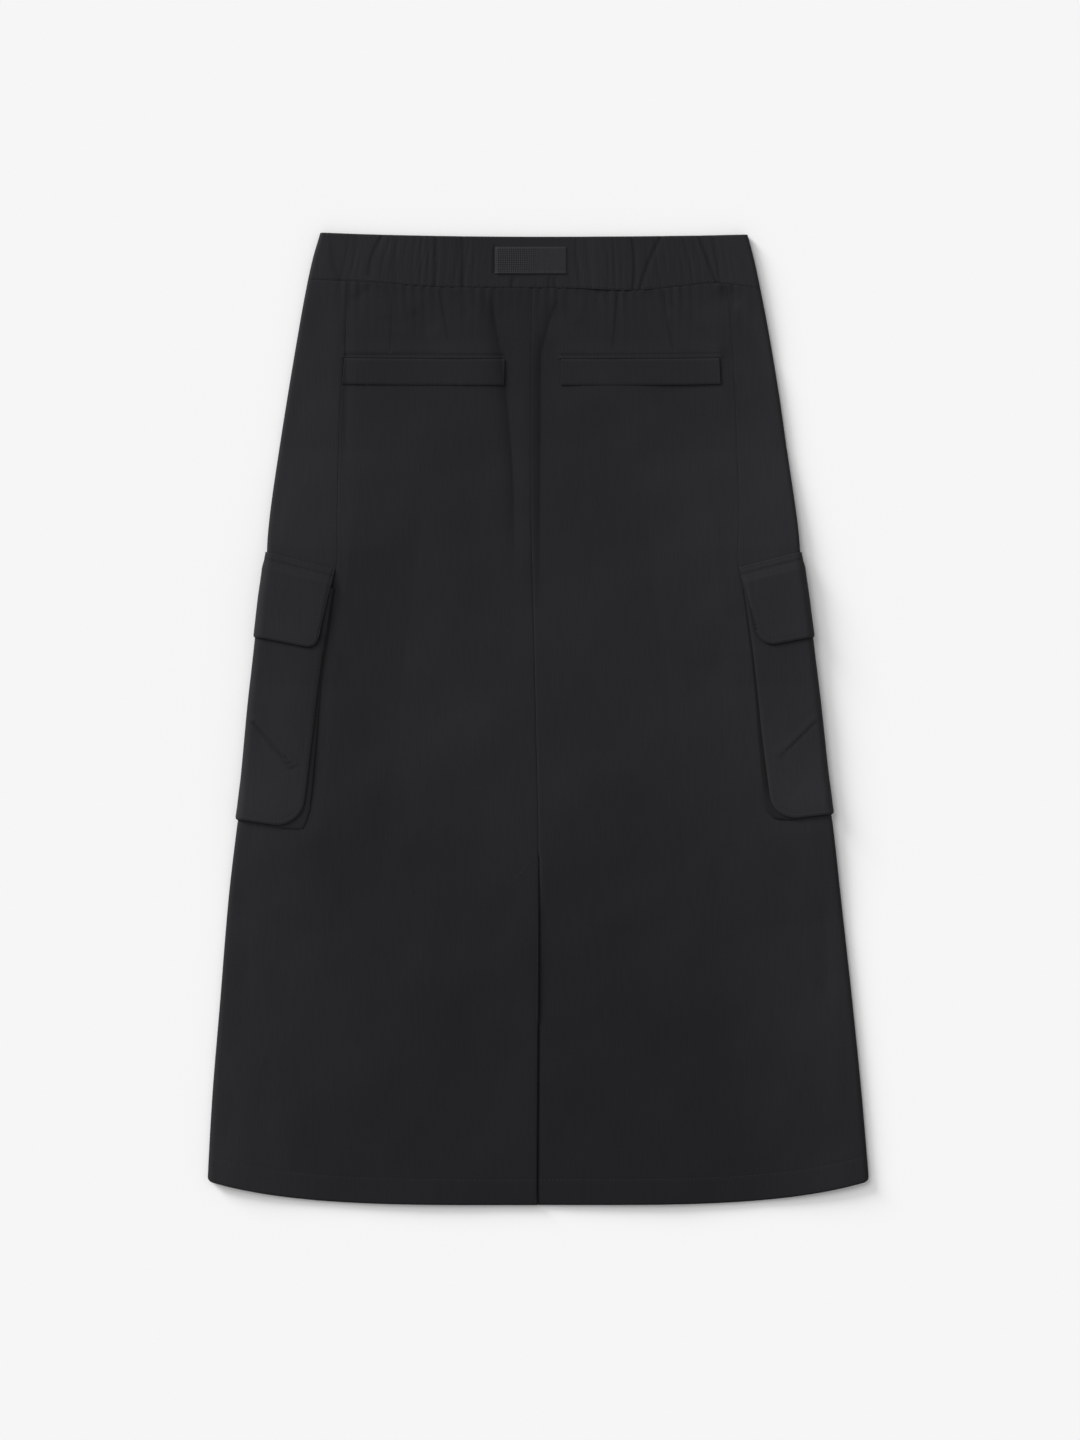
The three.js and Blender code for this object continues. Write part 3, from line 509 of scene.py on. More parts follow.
@dataclass(frozen=True)
class Relief:
    """Fine form of the panels, over the main folds."""

    seam_width: float = 0.9
    centre_depth: float = 0.3
    side_depth: float = 0.08
    waist_depth: float = 0.22
    lip_height: float = 0.6
    lip_left: tuple[float, ...] = (-172, -168, -33, -29)
    lip_right: tuple[float, ...] = (16, 20, 157, 161)
    meet_height: float = 0.5
    pucker_depth: float = 0.2
    pucker_reach: float = 20
    gather_pitch: float = 8.3
    hem_width: float = 22
    hem_raise: float = 0.12
    vent_roll: float = 1.1

    def groove(self, aside: Numbers) -> Numbers:
        """A sewn seam, where the cloth turns in."""
        return bell(aside, self.seam_width)

    def seams(self, across: Numbers, x: Numbers, down: Numbers, share: Numbers) -> Numbers:
        """How deep the cloth is drawn in along the panels' seams."""
        half = TUBE.half(across, down)
        nominal = TUBE.row(0.8, share)
        centre = x - TUBE.centre.read(down)
        closed = 1 - smoothstep(down, TUBE.vent_down - 3, TUBE.vent_down + 1)
        drawn = 0.25 + 0.75 * smoothstep(down, 200, 290)
        vent_edge = np.where(centre > 0, self.vent_roll, 0.25) * bell(centre, 1.6)
        above_end = share < TUBE.side_end
        side = np.where(across < 0, TUBE.side_left.read(nominal), TUBE.side_right.read(nominal))
        beside = (np.abs(across) - side) * half
        waist = down - TUBE.seam(across)
        dotted = 0.5 + 0.5 * np.sin(2 * math.pi * x / 9.5 + 1.5 * np.sin(x / 23))
        return (
            self.centre_depth * drawn * self.groove(centre) * closed + vent_edge * (1 - closed)
            + np.where(above_end, self.side_depth * self.groove(beside), 0)
            + self.waist_depth * dotted * self.groove(waist)
        )

    def welt_lip(self, x: Numbers, share: Numbers) -> Numbers:
        """The panel's edge over a welt, as high as the welt, which comes out from under it."""
        above = (TUBE.welt_top - share) * TUBE.length
        raised = plateau(above, -0.2, 0.5, 3, 18)
        spans = (self.lip_left, self.lip_right)
        left, right = (plateau(x, *span) for span in spans)
        return self.lip_height * raised * (left + right)

    def pucker(self, x: Numbers, down: Numbers, across: Numbers) -> Numbers:
        """Small gathers that the waistband's elastic draws into the panels' top."""
        below = down - TUBE.seam(across)
        wander = 0.9 * np.sin(x / 17 + 0.6) + 0.35 * np.sin(down / 9 + x / 31)
        wave = np.sin(2 * math.pi * x / self.gather_pitch + wander)
        uneven = 1 + 0.6 * np.sin(0.11 * x + 0.7)
        side = smoothstep(np.abs(np.abs(across) - 1) * 200, 8, 30)
        return self.pucker_depth * uneven * wave * np.exp(-below / self.pucker_reach) * side

    def ripples(self, x: Numbers, down: Numbers) -> Numbers:
        """Long low waves all over the cloth."""
        total = np.zeros_like(x)
        for ripple in RIPPLES:
            heading = math.radians(ripple.heading)
            along = x * math.cos(heading) + down * math.sin(heading)
            bend = 1.1 * np.sin(down / 71 + ripple.phase) + 0.8 * np.sin(x / 53 + ripple.phase)
            total += ripple.height * np.sin(2 * math.pi * along / ripple.length + bend)
        return total

    def hem(self, across: Numbers, down: Numbers) -> Numbers:
        """The hem is doubled, and its stitch line presses a narrow groove above it."""
        above = TUBE.hem(across) - TUBE.corner(across, 1.0) - down
        doubled = self.hem_raise * (1 - smoothstep(above, self.hem_width - 1.5, self.hem_width + 1))
        groove = 0.1 * bell(above - self.hem_width, 1.4)
        rounded = 0.5 * (1 - smoothstep(above, 0, 1.6))
        return doubled - groove - rounded

    def height(self, across: Numbers, down: Numbers) -> Numbers:
        """All the fine form together, as a height over the main folds."""
        x = across * TUBE.half(across, down)
        share = TUBE.share(across, down)
        meet = self.meet_height * np.exp(-np.maximum(0, down - TUBE.seam(across)) / 8)
        meet = meet * smoothstep(1 - np.abs(across), 0.1, 0.4)
        drags = sum(fold.sunk(x, down) for fold in DRAG_FOLDS)
        sewn = sum(line.sunk(x, down) for line in SEWN_LEFT + SEWN_RIGHT)
        side = smoothstep(1 - np.abs(across), 0.02, 0.08)
        return (
            self.ripples(x, down) * side + self.hem(across, down) + self.welt_lip(x, share) + meet
            - (drags + self.pucker(x, down, across)) * side - sewn
            - self.seams(across, x, down, share)
        )


RELIEF = Relief()


def panel_height(across: Numbers, down: Numbers) -> Numbers:
    """Height of the panels' upper layer with its fine form."""
    return TUBE.panel_loft(across, down) + RELIEF.height(across, down)


CARRIER = Surface(TUBE.panel_loft, TUBE.lift)
SKIN = Surface(panel_height, TUBE.lift)


@dataclass(frozen=True)
class BandShape:
    """The waistband's height, with its gathers on the elastic."""

    loft: float = 5.8
    fold_rise: float = 1.2
    left_gathers: int = 21
    right_gathers: int = 22
    depth: float = 0.17
    tab_left: float = -37.7
    tab_right: float = 25
    tab_bottom: float = 0.74
    edge_round: float = 1.4
    seam_groove: float = 0.18

    def gathers(self, x: Numbers, down: Numbers, share: Numbers) -> Numbers:
        """Depth of the valleys between the gathers, uneven in depth and place."""
        left, right = TUBE.half(-1, down), TUBE.half(1, down)
        on_left = (x + left) / (left + self.tab_left) * self.left_gathers
        on_right = (x - self.tab_right) / (right - self.tab_right) * self.right_gathers
        place = np.where(x < 0, on_left, on_right)
        wander = 0.22 * np.sin(place * 0.9 + 1.1) + 0.16 * np.sin(share * 4.1 + place * 0.57)
        wave = 0.5 - 0.5 * np.cos(2 * math.pi * (place + wander))
        small = 0.5 - 0.5 * np.cos(2 * math.pi * (1.83 * place - 1.7 * wander + 0.2 * share))
        uneven = 1 + 0.55 * np.sin(0.19 * x + 1.3) + 0.35 * np.sin(0.053 * x)
        ends = 0.55 + 0.45 * np.sin(math.pi * np.clip(share, 0, 1))
        return self.depth * uneven * ends * (wave ** 2 + 0.5 * small ** 3)

    def height(self, across: Numbers, down: Numbers) -> Numbers:
        """Height of the waistband's upper layer over the lower one."""
        half = TUBE.half(across, down)
        x = across * half
        top, bottom = TUBE.waist(across), TUBE.seam(across)
        share = (down - top) / (bottom - top)
        side = smoothstep(half - np.abs(x), 8, 40)
        outside = np.maximum(self.tab_left - x, x - self.tab_right)
        below = smoothstep(share, self.tab_bottom, 1)
        free = blend(0.12 + 0.88 * smoothstep(outside, 0, 6), 1.0, 0.6 * below)
        creases = sum(crease.sunk(x, share) for crease in BAND_CREASES)
        small = sum(crease.sunk(x, share) for crease in TAB_CREASES)
        edge = np.clip((down - top) / self.edge_round, 0, 1)
        rounded = self.edge_round * (1 - np.sqrt(1 - (1 - edge) ** 2))
        groove = self.seam_groove * bell(bottom - down, 0.9)
        relief = (self.gathers(x, down, share) + creases) * free * side + small
        return self.loft + self.fold_rise * (1 - side) - relief - rounded - groove


BAND_SHAPE = BandShape()


def unlifted(across: Numbers, down: Numbers) -> Numbers:
    """The waistband's lower layer lies on the surface."""
    return np.zeros_like(across + down)


BAND = Surface(BAND_SHAPE.height, unlifted)


class Net(NamedTuple):
    """Places of a piece's corners, before it gets its wall.

    points are x, y, z rows, turn and down their places on the tube, and tone how bright the
    cloth is painted there, painted light and shade included.
    """

    points: Numbers
    turn: Numbers
    down: Numbers
    tone: Numbers


Place = Callable[[Numbers, Numbers, Numbers], Net]


@dataclass(frozen=True)
class PaintedLightAndTone:
    """How much brighter or darker the cloth is painted in the parts of the skirt, mostly
    painted light and shade.

    The sides and the top are painted lighter: a painted highlight at the folds, and painted
    light at the top. A darker patch left of the middle, at its own x, is painted shade beside
    the main fold. How much of the sides' painted highlight goes towards the hem, and low how
    much the middle is painted darker there, a painted shade, are both given for the left and
    for the right.
    """

    # painted highlight towards the side folds
    side: float = 0.3
    # painted light at the top
    painted_top_light: float = 0.1
    middle: float = 0.15
    low_left_side: float = 0.06
    # painted shade in a patch left of the main fold
    left_fold_painted_shade: float = 0.16
    left_fold_painted_shade_x: float = -56
    left_fold_painted_shade_width: float = 30
    # how much of the sides' painted highlight fades towards the hem
    side_highlight_loss: tuple[float, float] = (0.1, 0.35)
    # painted shade darkening the middle towards the hem
    low: tuple[float, float] = (0.17, 0.21)

    def tone(self, turn: Numbers, down: Numbers) -> Numbers:
        """How bright the cloth is painted, with painted light and shade.

        Args:
            turn: the way round the tube.
            down: distances below the waist.

        Returns:
            A factor for the cloth's colour.
        """
        x = TUBE.across(turn) * TUBE.half(TUBE.across(turn), down)
        across = np.abs(TUBE.across(turn))
        # towards the hem the sides' painted highlight fades and the middle gets painted shade
        low = smoothstep(down, 450, 800)
        left = self.low_left_side * smoothstep(-x, 50, 150) * smoothstep(down, 400, 600)
        # painted shade in a patch left of the main fold
        left_fold_painted_shade = plateau(down, 140, 190, 270, 360)
        left = left - self.left_fold_painted_shade * left_fold_painted_shade * bell(x - self.left_fold_painted_shade_x, self.left_fold_painted_shade_width)
        # painted highlight towards the side folds, partly fading towards the hem
        side_highlight_loss = np.where(x > 0, self.side_highlight_loss[1], self.side_highlight_loss[0])
        side = smoothstep(across, 0.5, 1.0) * (1 - side_highlight_loss * low)
        # painted light at the top
        painted_top_light = 1 - smoothstep(down, 60, 320)
        middle = plateau(down, 130, 220, 400, 580)
        low = np.where(x > 0, self.low[1], self.low[0]) * low * (1 - side)
        return 1 + self.side * side + self.painted_top_light * painted_top_light + self.middle * middle + left - low


PAINTED_LIGHT_AND_TONE = PaintedLightAndTone()


def graded(length: float, step: float, first: bool = True, last: bool = True) -> Numbers:
    """Places along a length, closer together beside its ends.

    Args:
        length: the length.
        step: the plain distance between two places.
        first: whether they are closer together beside the start.
        last: whether they are closer together beside the end.

    Returns:
        The places, from 0 to 1.
    """
    fine = [0.0, 0.45, 1.0, 1.7, 2.6, 3.9]
    start = fine if first else [0.0]
    end = [length - value for value in reversed(fine)] if last else [length]
    count = max(2, round((end[0] - start[-1]) / step))
    middle = np.linspace(start[-1], end[0], count + 1)
    return np.concatenate([start[:-1], middle, end[1:]]) / length


def joined(*stretches: Numbers) -> Numbers:
    """Puts stretches from 0 to 1 behind each other: the second one goes from 1 to 2."""
    parts = [stretches[0]] + [stretch[1:] + i for i, stretch in enumerate(stretches) if i]
    return np.concatenate(parts)


def lay_cloth(
    name: str, columns: Numbers, rows: Numbers, place: Place, wall: float,
    missing: Callable[[float, float], bool] | None = None,
    fine: Sequence[Crease] = (),
) -> bpy.types.Object:
    """Makes one piece of cloth from a flat net that is laid on the tube.

    Args:
        name: the piece's name.
        columns: places of the net's columns, from left to right.
        rows: places of its rows, from the top down.
        place: gives the net's corners their places on the tube.
        wall: how thick the cloth is, inwards from its outer face.
        missing: whether the net has a hole at a column and a row.
        fine: lines beside which the net is made finer.

    Returns:
        The piece, with its wall as a modifier.
    """
    net = bmesh.new()
    last_column, last_row = len(columns) - 1, len(rows) - 1
    bmesh.ops.create_grid(net, x_segments=last_column, y_segments=last_row, size=0.5)

    def column_at(x: Numbers) -> Numbers:
        """Column of a place across the flat net."""
        return np.interp((np.asarray(x) + 0.5) * last_column, np.arange(last_column + 1), columns)

    def row_at(y: Numbers) -> Numbers:
        """Row of a place up the flat net."""
        return np.interp((0.5 - np.asarray(y)) * last_row, np.arange(last_row + 1), rows)

    if missing:
        centres = np.array([face.calc_center_median()[:2] for face in net.faces])
        places = zip(net.faces, column_at(centres[:, 0]), row_at(centres[:, 1]))
        holes = [face for face, column, row in places if missing(column, row)]
        bmesh.ops.delete(net, geom=holes, context="FACES")
    if fine:
        centres = np.array([face.calc_center_median()[:2] for face in net.faces])
        still = np.zeros((len(centres), 2))
        laid = place(column_at(centres[:, 0]), row_at(centres[:, 1]), still)
        x = laid.points[:, 0]
        close = sum(abs(line.sunk(x, laid.down)) > 0.01 * abs(line.depth) for line in fine) > 0
        edges = {edge for face, near in zip(net.faces, close) if near for edge in face.edges}
        bmesh.ops.subdivide_edges(net, edges=list(edges), cuts=2, use_grid_fill=True)

    net.verts.index_update()
    nudges = np.zeros((len(net.verts), 2))
    for corner in net.verts:
        if corner.is_boundary:
            middle = sum((f.calc_center_median() for f in corner.link_faces), Vector())
            aim = middle / len(corner.link_faces) - corner.co
            reach = max(abs(aim.x) * last_column, abs(aim.y) * last_row)
            nudges[corner.index] = (
                math.copysign(1, aim.x) if abs(aim.x) * last_column > 0.1 * reach else 0,
                -math.copysign(1, aim.y) if abs(aim.y) * last_row > 0.1 * reach else 0,
            )
    mesh = bpy.data.meshes.new(name)
    net.to_mesh(mesh)
    net.free()
    return finish_cloth(mesh, name, column_at, row_at, nudges, place, wall)


def finish_cloth(
    mesh: bpy.types.Mesh, name: str, column_at: Callable, row_at: Callable,
    nudges: Numbers, place: Place, wall: float,
) -> bpy.types.Object:
    """Moves a flat net's corners to place, and gives it its UV map, painted light and wall.

    Args:
        mesh: the flat net.
        name: the piece's name.
        column_at: gives the column of a corner.
        row_at: gives its row.
        nudges: which way each corner on an edge is drawn back.
        place: gives the corners their places on the tube.
        wall: how thick the cloth is.

    Returns:
        The piece.
    """
    flat = np.empty(len(mesh.vertices) * 3)
    mesh.vertices.foreach_get("co", flat)
    flat = flat.reshape(-1, 3)
    laid = place(column_at(flat[:, 0]), row_at(flat[:, 1]), nudges)
    mesh.vertices.foreach_set("co", (laid.points * METRES).ravel())
    across = TUBE.across(laid.turn)
    girth = laid.turn * TUBE.half(across, laid.down)
    corners = np.empty(len(mesh.loops), int)
    mesh.loops.foreach_get("vertex_index", corners)
    uv = np.stack([girth, TUBE.length - laid.down], axis=-1)[corners] * METRES
    mesh.uv_layers.new(name=UV_NAME).uv.foreach_set("vector", uv.ravel())
    # each place's tone, mostly painted light and shade
    painted_light_and_tone = mesh.attributes.new(TONE_NAME, "FLOAT", "POINT")
    painted_light_and_tone.data.foreach_set("value", laid.tone.astype(np.float32))
    mesh.shade_smooth()
    piece = bpy.data.objects.new(name, mesh)
    bpy.context.scene.collection.objects.link(piece)
    solid = piece.modifiers.new("wall", "SOLIDIFY")
    solid.thickness = wall * METRES
    solid.offset = -1
    return piece


def flat_area(piece: bpy.types.Object) -> float:
    """Area of a piece's cloth in square metres, without its wall."""
    return sum(face.area for face in piece.data.polygons)


def attach(
    piece: bpy.types.Object, material: bpy.types.Material, slot: Slot, *nodes: str,
) -> None:
    """Gives a piece its material and body, and hides the CAD nodes that it stands for."""
    piece.data.materials.append(material)
    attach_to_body(piece, "root")
    if nodes:
        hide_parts(*nodes)
    log.info("%s: %d faces", piece.name, len(piece.data.polygons))


def declare(
    piece: bpy.types.Object, cut: tuple[float, float],
    rests_on: Sequence[str] = (),
) -> None:
    """Says what sheet of cloth a piece is.

    Args:
        piece: the piece.
        cut: width and length of the cloth that it is cut from, in millimetres.
        rests_on: the pieces that it lies on; not used.
    """
    width, length = (size * METRES for size in cut)
    area = min(flat_area(piece), width * length)
    log.info("%s: cut %.3f x %.3f m, %.4f m2", piece.name, width, length, area)


def linear(colour: str) -> tuple[float, float, float, float]:
    """Turns an sRGB hex colour into linear light."""
    values = [int(colour[i:i + 2], 16) / 255 for i in (0, 2, 4)]
    light = [v / 12.92 if v <= 0.04045 else ((v + 0.055) / 1.055) ** 2.4 for v in values]
    return (*light, 1.0)


def new_material(
    name: str, roughness: float, specular: float,
) -> tuple[bpy.types.Material, bpy.types.NodeTree, bpy.types.Node]:
    """Adds a material, and returns it with its node tree and its shader."""
    material = bpy.data.materials.new(name)
    material.use_nodes = True
    shader = material.node_tree.nodes["Principled BSDF"]
    shader.inputs["Roughness"].default_value = roughness
    shader.inputs["Specular IOR Level"].default_value = specular
    return material, material.node_tree, shader


def add_node(
    tree: bpy.types.NodeTree, kind: str, settings: dict | None = None,
    values: dict | None = None, links: dict | None = None,
) -> bpy.types.Node:
    """Adds a shader node.

    Args:
        tree: the material's node tree.
        kind: the node's type.
        settings: its own properties.
        values: the values of its input sockets, by name or number.
        links: the output sockets that its input sockets are linked from.

    Returns:
        The node.
    """
    node = tree.nodes.new(kind)
    for name, value in (settings or {}).items():
        setattr(node, name, value)
    for socket, value in (values or {}).items():
        node.inputs[socket].default_value = value
    for socket, source in (links or {}).items():
        tree.links.new(source, node.inputs[socket])
    return node


def dye(
    tree: bpy.types.NodeTree, shader: bpy.types.Node, colour: str, bright: bpy.types.NodeSocket,
) -> None:
    """Gives a shader its colour, scaled by how bright the cloth is from place to place."""
    dyed = add_node(
        tree, "ShaderNodeVectorMath", {"operation": "SCALE"},
        {0: linear(colour)[:3]}, {"Scale": bright},
    )
    tree.links.new(dyed.outputs[0], shader.inputs["Base Color"])


def emboss(
    tree: bpy.types.NodeTree, shader: bpy.types.Node, height: bpy.types.NodeSocket,
    strength: float,
) -> None:
    """Gives a shader a bump of a fifth of a millimetre."""
    values = {"Strength": strength, "Distance": 0.2 * METRES}
    bump = add_node(tree, "ShaderNodeBump", None, values, {"Height": height})
    tree.links.new(bump.outputs[0], shader.inputs["Normal"])


@dataclass(frozen=True)
class Twill:
    """Tightly woven cotton and nylon twill, dyed black and brushed.

    It gives the eye a near-black matt face with fine upright streaks, and a brushed pile that
    turns a little lighter where it is seen at a flat angle.
    """

    name: str = "black_twill_woven"
    colour: str = "1d1d1f"
    streak_width: float = 1.25
    streak_length: float = 26
    slub_width: float = 3.4
    slub_length: float = 75
    cloud_size: float = 95
    thread_spacing: float = 2.3  # the real 0.4 mm wale is drawn coarser, so that it shows
    streak: float = 0.28
    slub: float = 0.08
    cloud: float = 0.3
    roughness: float = 0.82

    def noise(
        self, tree: bpy.types.NodeTree, uv: bpy.types.NodeSocket, width: float, length: float,
        detail: float,
    ) -> bpy.types.NodeSocket:
        """Adds a noise that is drawn out along the cloth.

        Args:
            tree: the material's node tree.
            uv: the cloth's own places, in metres.
            width: width of its marks, in millimetres.
            length: length of its marks.
            detail: how many finer layers it has.

        Returns:
            The socket with its value.
        """
        scale = (1 / (width * METRES), 1 / (length * METRES), 1)
        place = add_node(tree, "ShaderNodeMapping", None, {"Scale": scale}, {"Vector": uv})
        texture = add_node(
            tree, "ShaderNodeTexNoise", {"noise_dimensions": "2D"},
            {"Scale": 1, "Detail": detail, "Roughness": 0.55}, {"Vector": place.outputs[0]},
        )
        return texture.outputs[0]

    def material(self) -> bpy.types.Material:
        """Makes the material."""
        material, tree, shader = new_material(self.name, self.roughness, 0.12)
        uv = add_node(tree, "ShaderNodeUVMap", {"uv_map": UV_NAME}).outputs[0]
        streaks = self.noise(tree, uv, self.streak_width, self.streak_length, 3)
        slubs = self.noise(tree, uv, self.slub_width, self.slub_length, 2)
        clouds = self.noise(tree, uv, self.cloud_size, self.cloud_size * 1.3, 2)
        # the painted light and shade and the tone of each place, from the mesh
        painted_light_and_tone = add_node(
            tree, "ShaderNodeAttribute", {"attribute_name": TONE_NAME, "attribute_type": "GEOMETRY"},
        ).outputs["Fac"]
        total = 1.0 - (self.streak + self.slub + self.cloud) / 2
        for source, amount in ((streaks, self.streak), (slubs, self.slub), (clouds, self.cloud)):
            settings = {"operation": "MULTIPLY_ADD"}
            node = add_node(tree, "ShaderNodeMath", settings, {1: amount}, {0: source})
            if isinstance(total, float):
                node.inputs[2].default_value = total
            else:
                tree.links.new(total, node.inputs[2])
            total = node.outputs[0]
        bright = add_node(
            tree, "ShaderNodeMath", {"operation": "MULTIPLY"}, None, {0: total, 1: painted_light_and_tone},
        ).outputs[0]
        dye(tree, shader, self.colour, bright)
        period = self.thread_spacing * METRES
        wales = add_node(
            tree, "ShaderNodeTexWave", {"wave_type": "BANDS", "bands_direction": "DIAGONAL"},
            {"Scale": math.pi / (10 * period * math.sqrt(2)), "Distortion": 1.5, "Detail": 1},
            {"Vector": uv},
        ).outputs["Fac"]
        grain = add_node(
            tree, "ShaderNodeMath", {"operation": "MULTIPLY_ADD"}, {1: 0.25}, {0: wales, 2: streaks},
        ).outputs[0]
        emboss(tree, shader, grain, 0.35)
        shader.inputs["Sheen Weight"].default_value = 0.05
        shader.inputs["Sheen Roughness"].default_value = 0.5
        shader.inputs["Sheen Tint"].default_value = linear("c8c8d0")
        return material


@dataclass(frozen=True)
class Webbing:
    """Ribbed nylon webbing, woven and dyed black.

    It gives the eye a lighter grey black than the twill, with a square rib and a soft, low gloss.
    """

    name: str = "black_nylon_webbing_woven"
    colour: str = "202023"

    def material(self) -> bpy.types.Material:
        """Makes the material."""
        material, tree, shader = new_material(self.name, 0.6, 0.2)
        uv = add_node(tree, "ShaderNodeUVMap", {"uv_map": UV_NAME}).outputs[0]
        place = add_node(
            tree, "ShaderNodeMapping", None, {"Scale": (900, 260, 1)}, {"Vector": uv},
        )
        fibres = add_node(
            tree, "ShaderNodeTexNoise", {"noise_dimensions": "2D"},
            {"Scale": 1, "Detail": 3}, {"Vector": place.outputs[0]},
        ).outputs[0]
        bright = add_node(
            tree, "ShaderNodeMath", {"operation": "MULTIPLY_ADD"}, {1: 0.6, 2: 0.7}, {0: fibres},
        ).outputs[0]
        dye(tree, shader, self.colour, bright)
        emboss(tree, shader, fibres, 0.4)
        return material


@dataclass(frozen=True)
class Thread:
    """Spun polyester sewing thread, dyed black, with the slight shine of its twist."""

    name: str = "black_polyester_thread_spun"
    colour: str = "161618"
    twist: float = 0.7

    def material(self) -> bpy.types.Material:
        """Makes the material."""
        material, tree, shader = new_material(self.name, 0.55, 0.3)
        place = add_node(tree, "ShaderNodeTexCoord").outputs["Object"]
        fibres = add_node(
            tree, "ShaderNodeTexNoise", None,
            {"Scale": 1 / (self.twist * METRES), "Detail": 2}, {"Vector": place},
        ).outputs[0]
        bright = add_node(
            tree, "ShaderNodeMath", {"operation": "MULTIPLY_ADD"}, {1: 0.5, 2: 0.75}, {0: fibres},
        ).outputs[0]
        dye(tree, shader, self.colour, bright)
        return material


Knot = Callable[[Numbers], Numbers]


@dataclass
class Panels:
    """The back, side and front panels, the vent's underlap and the back pockets' welts."""

    cloth: bpy.types.Material
    step: float = 2.55
    coarse: float = 5.5
    welt_bottom: float = 0.1085
    welt_wall: float = 0.72
    # painted shade in the main folds, along their sharp lines and along the sewn lines
    painted_fold_shade: float = 0.1
    painted_fold_shade_width: float = 9
    painted_fold_line_shade: float = 0.18
    painted_sewn_shade: float = 0.6
    pieces: dict[str, bpy.types.Object] = field(default_factory=dict)

    def fixed(self, turn: float) -> Knot:
        """A line at the same turn all the way down."""
        return lambda share: np.full_like(share, turn)

    def left_seam(self, share: Numbers) -> Numbers:
        """The left side back seam."""
        return -TUBE.side_left.read(TUBE.row(0.8, share))

    def right_seam(self, share: Numbers) -> Numbers:
        """The right side back seam."""
        return TUBE.side_right.read(TUBE.row(0.8, share))

    def centre_seam(self, share: Numbers) -> Numbers:
        """The centre back seam."""
        nominal = TUBE.row(0.8, share)
        x = TUBE.centre.read(nominal)
        return x / TUBE.half(x, nominal)

    def between(self, first: Knot, second: Knot, part: float) -> Knot:
        """A line at a part of the way between two others."""
        return lambda share: blend(first(share), second(share), part)

    def placer(self, knots: Sequence[Knot], surface: Surface, out: Field) -> Place:
        """Says where the corners of a panel's net lie.

        Args:
            knots: the lines down the skirt at which the net's columns are 0, 1, 2 and so on.
            surface: the face that the net is laid on.
            out: how far out from it the net lies.

        Returns:
            The function that places the corners.
        """
        def place(column: Numbers, share: Numbers, nudge: Numbers) -> Net:
            """Places the net's corners."""
            lines = np.stack([knot(share) for knot in knots], axis=-1)
            i = np.clip(np.floor(column).astype(int), 0, len(knots) - 2)
            rows = np.arange(len(column))
            turn = blend(lines[rows, i], lines[rows, i + 1], column - i)
            down = TUBE.row(turn, share) + nudge[:, 1] * SEAM_GAP / 2
            turn = turn + nudge[:, 0] * SEAM_GAP / 2 / TUBE.half(TUBE.across(turn), down)
            points = surface.out(turn, down, out(turn, down))
            x = turn * TUBE.half(turn, down)
            # painted shade darkening the cloth in the folds, their sharp lines and the sewn lines
            wide = [replace(fold, width=self.painted_fold_shade_width) for fold in FOLDS[:3]]
            painted_crease_shade = self.painted_fold_shade * sum(fold.sunk(x, down) / fold.depth for fold in wide)
            painted_crease_shade += self.painted_fold_line_shade * sum(line.sunk(x, down) / line.depth for line in FOLD_LINES)
            painted_crease_shade += self.painted_sewn_shade * sum(line.sunk(x, down) for line in SEWN_LEFT + SEWN_RIGHT)
            tone = PAINTED_LIGHT_AND_TONE.tone(turn, down) * np.where(np.abs(turn) < 1, 1 - painted_crease_shade, 1)
            return Net(points, turn, down, tone)
        return place

    def lay(
        self, name: str, knots: Sequence[Knot], columns: Numbers, rows: Numbers,
        missing: Callable[[float, float], bool] | None = None, surface: Surface = SKIN,
        out: Field = unlifted, wall: float = CLOTH, fine: Sequence[Crease] = (),
    ) -> bpy.types.Object:
        """Lays one piece between lines down the skirt, and keeps it by its name.

        Args:
            name: the piece's name, which is its CAD node's with "cloth" behind it.
            knots: the lines at which its columns are 0, 1, 2 and so on.
            columns: places of its columns.
            rows: its rows, as shares of the way to the hem.
            missing: whether the piece is absent at a column and a share.
            surface: the face that it is laid on.
            out: how far out from it the piece lies.
            wall: how thick it is.
            fine: lines beside which its net is finer.

        Returns:
            The piece.
        """
        place = self.placer(knots, surface, out)
        piece = lay_cloth(f"{name}_cloth", columns, rows, place, wall, missing, fine)
        attach(piece, self.cloth, Slot.TWILL, name)
        self.pieces[name] = piece
        return piece

    def rows(self, step: float) -> Numbers:
        """Rows from the waistband's seam to the hem, closer at both, at the welts and stitches."""
        length = TUBE.length - TUBE.band_seam.sizes[0]
        shares = graded(length, step)
        stitches = 1 - RELIEF.hem_width / length + np.linspace(-3, 3, 9) / length
        lip = TUBE.welt_top + np.array([-3.6, -2.6, -1.8, -1.2, -0.8, -0.5, -0.2, 0.2, 1]) / length
        for extra in (stitches, lip):
            shares = shares[(shares < extra[0] - 0.001) | (shares > extra[-1] + 0.001)]
            shares = np.concatenate([shares, extra])
        return np.sort(np.append(shares, TUBE.side_end))

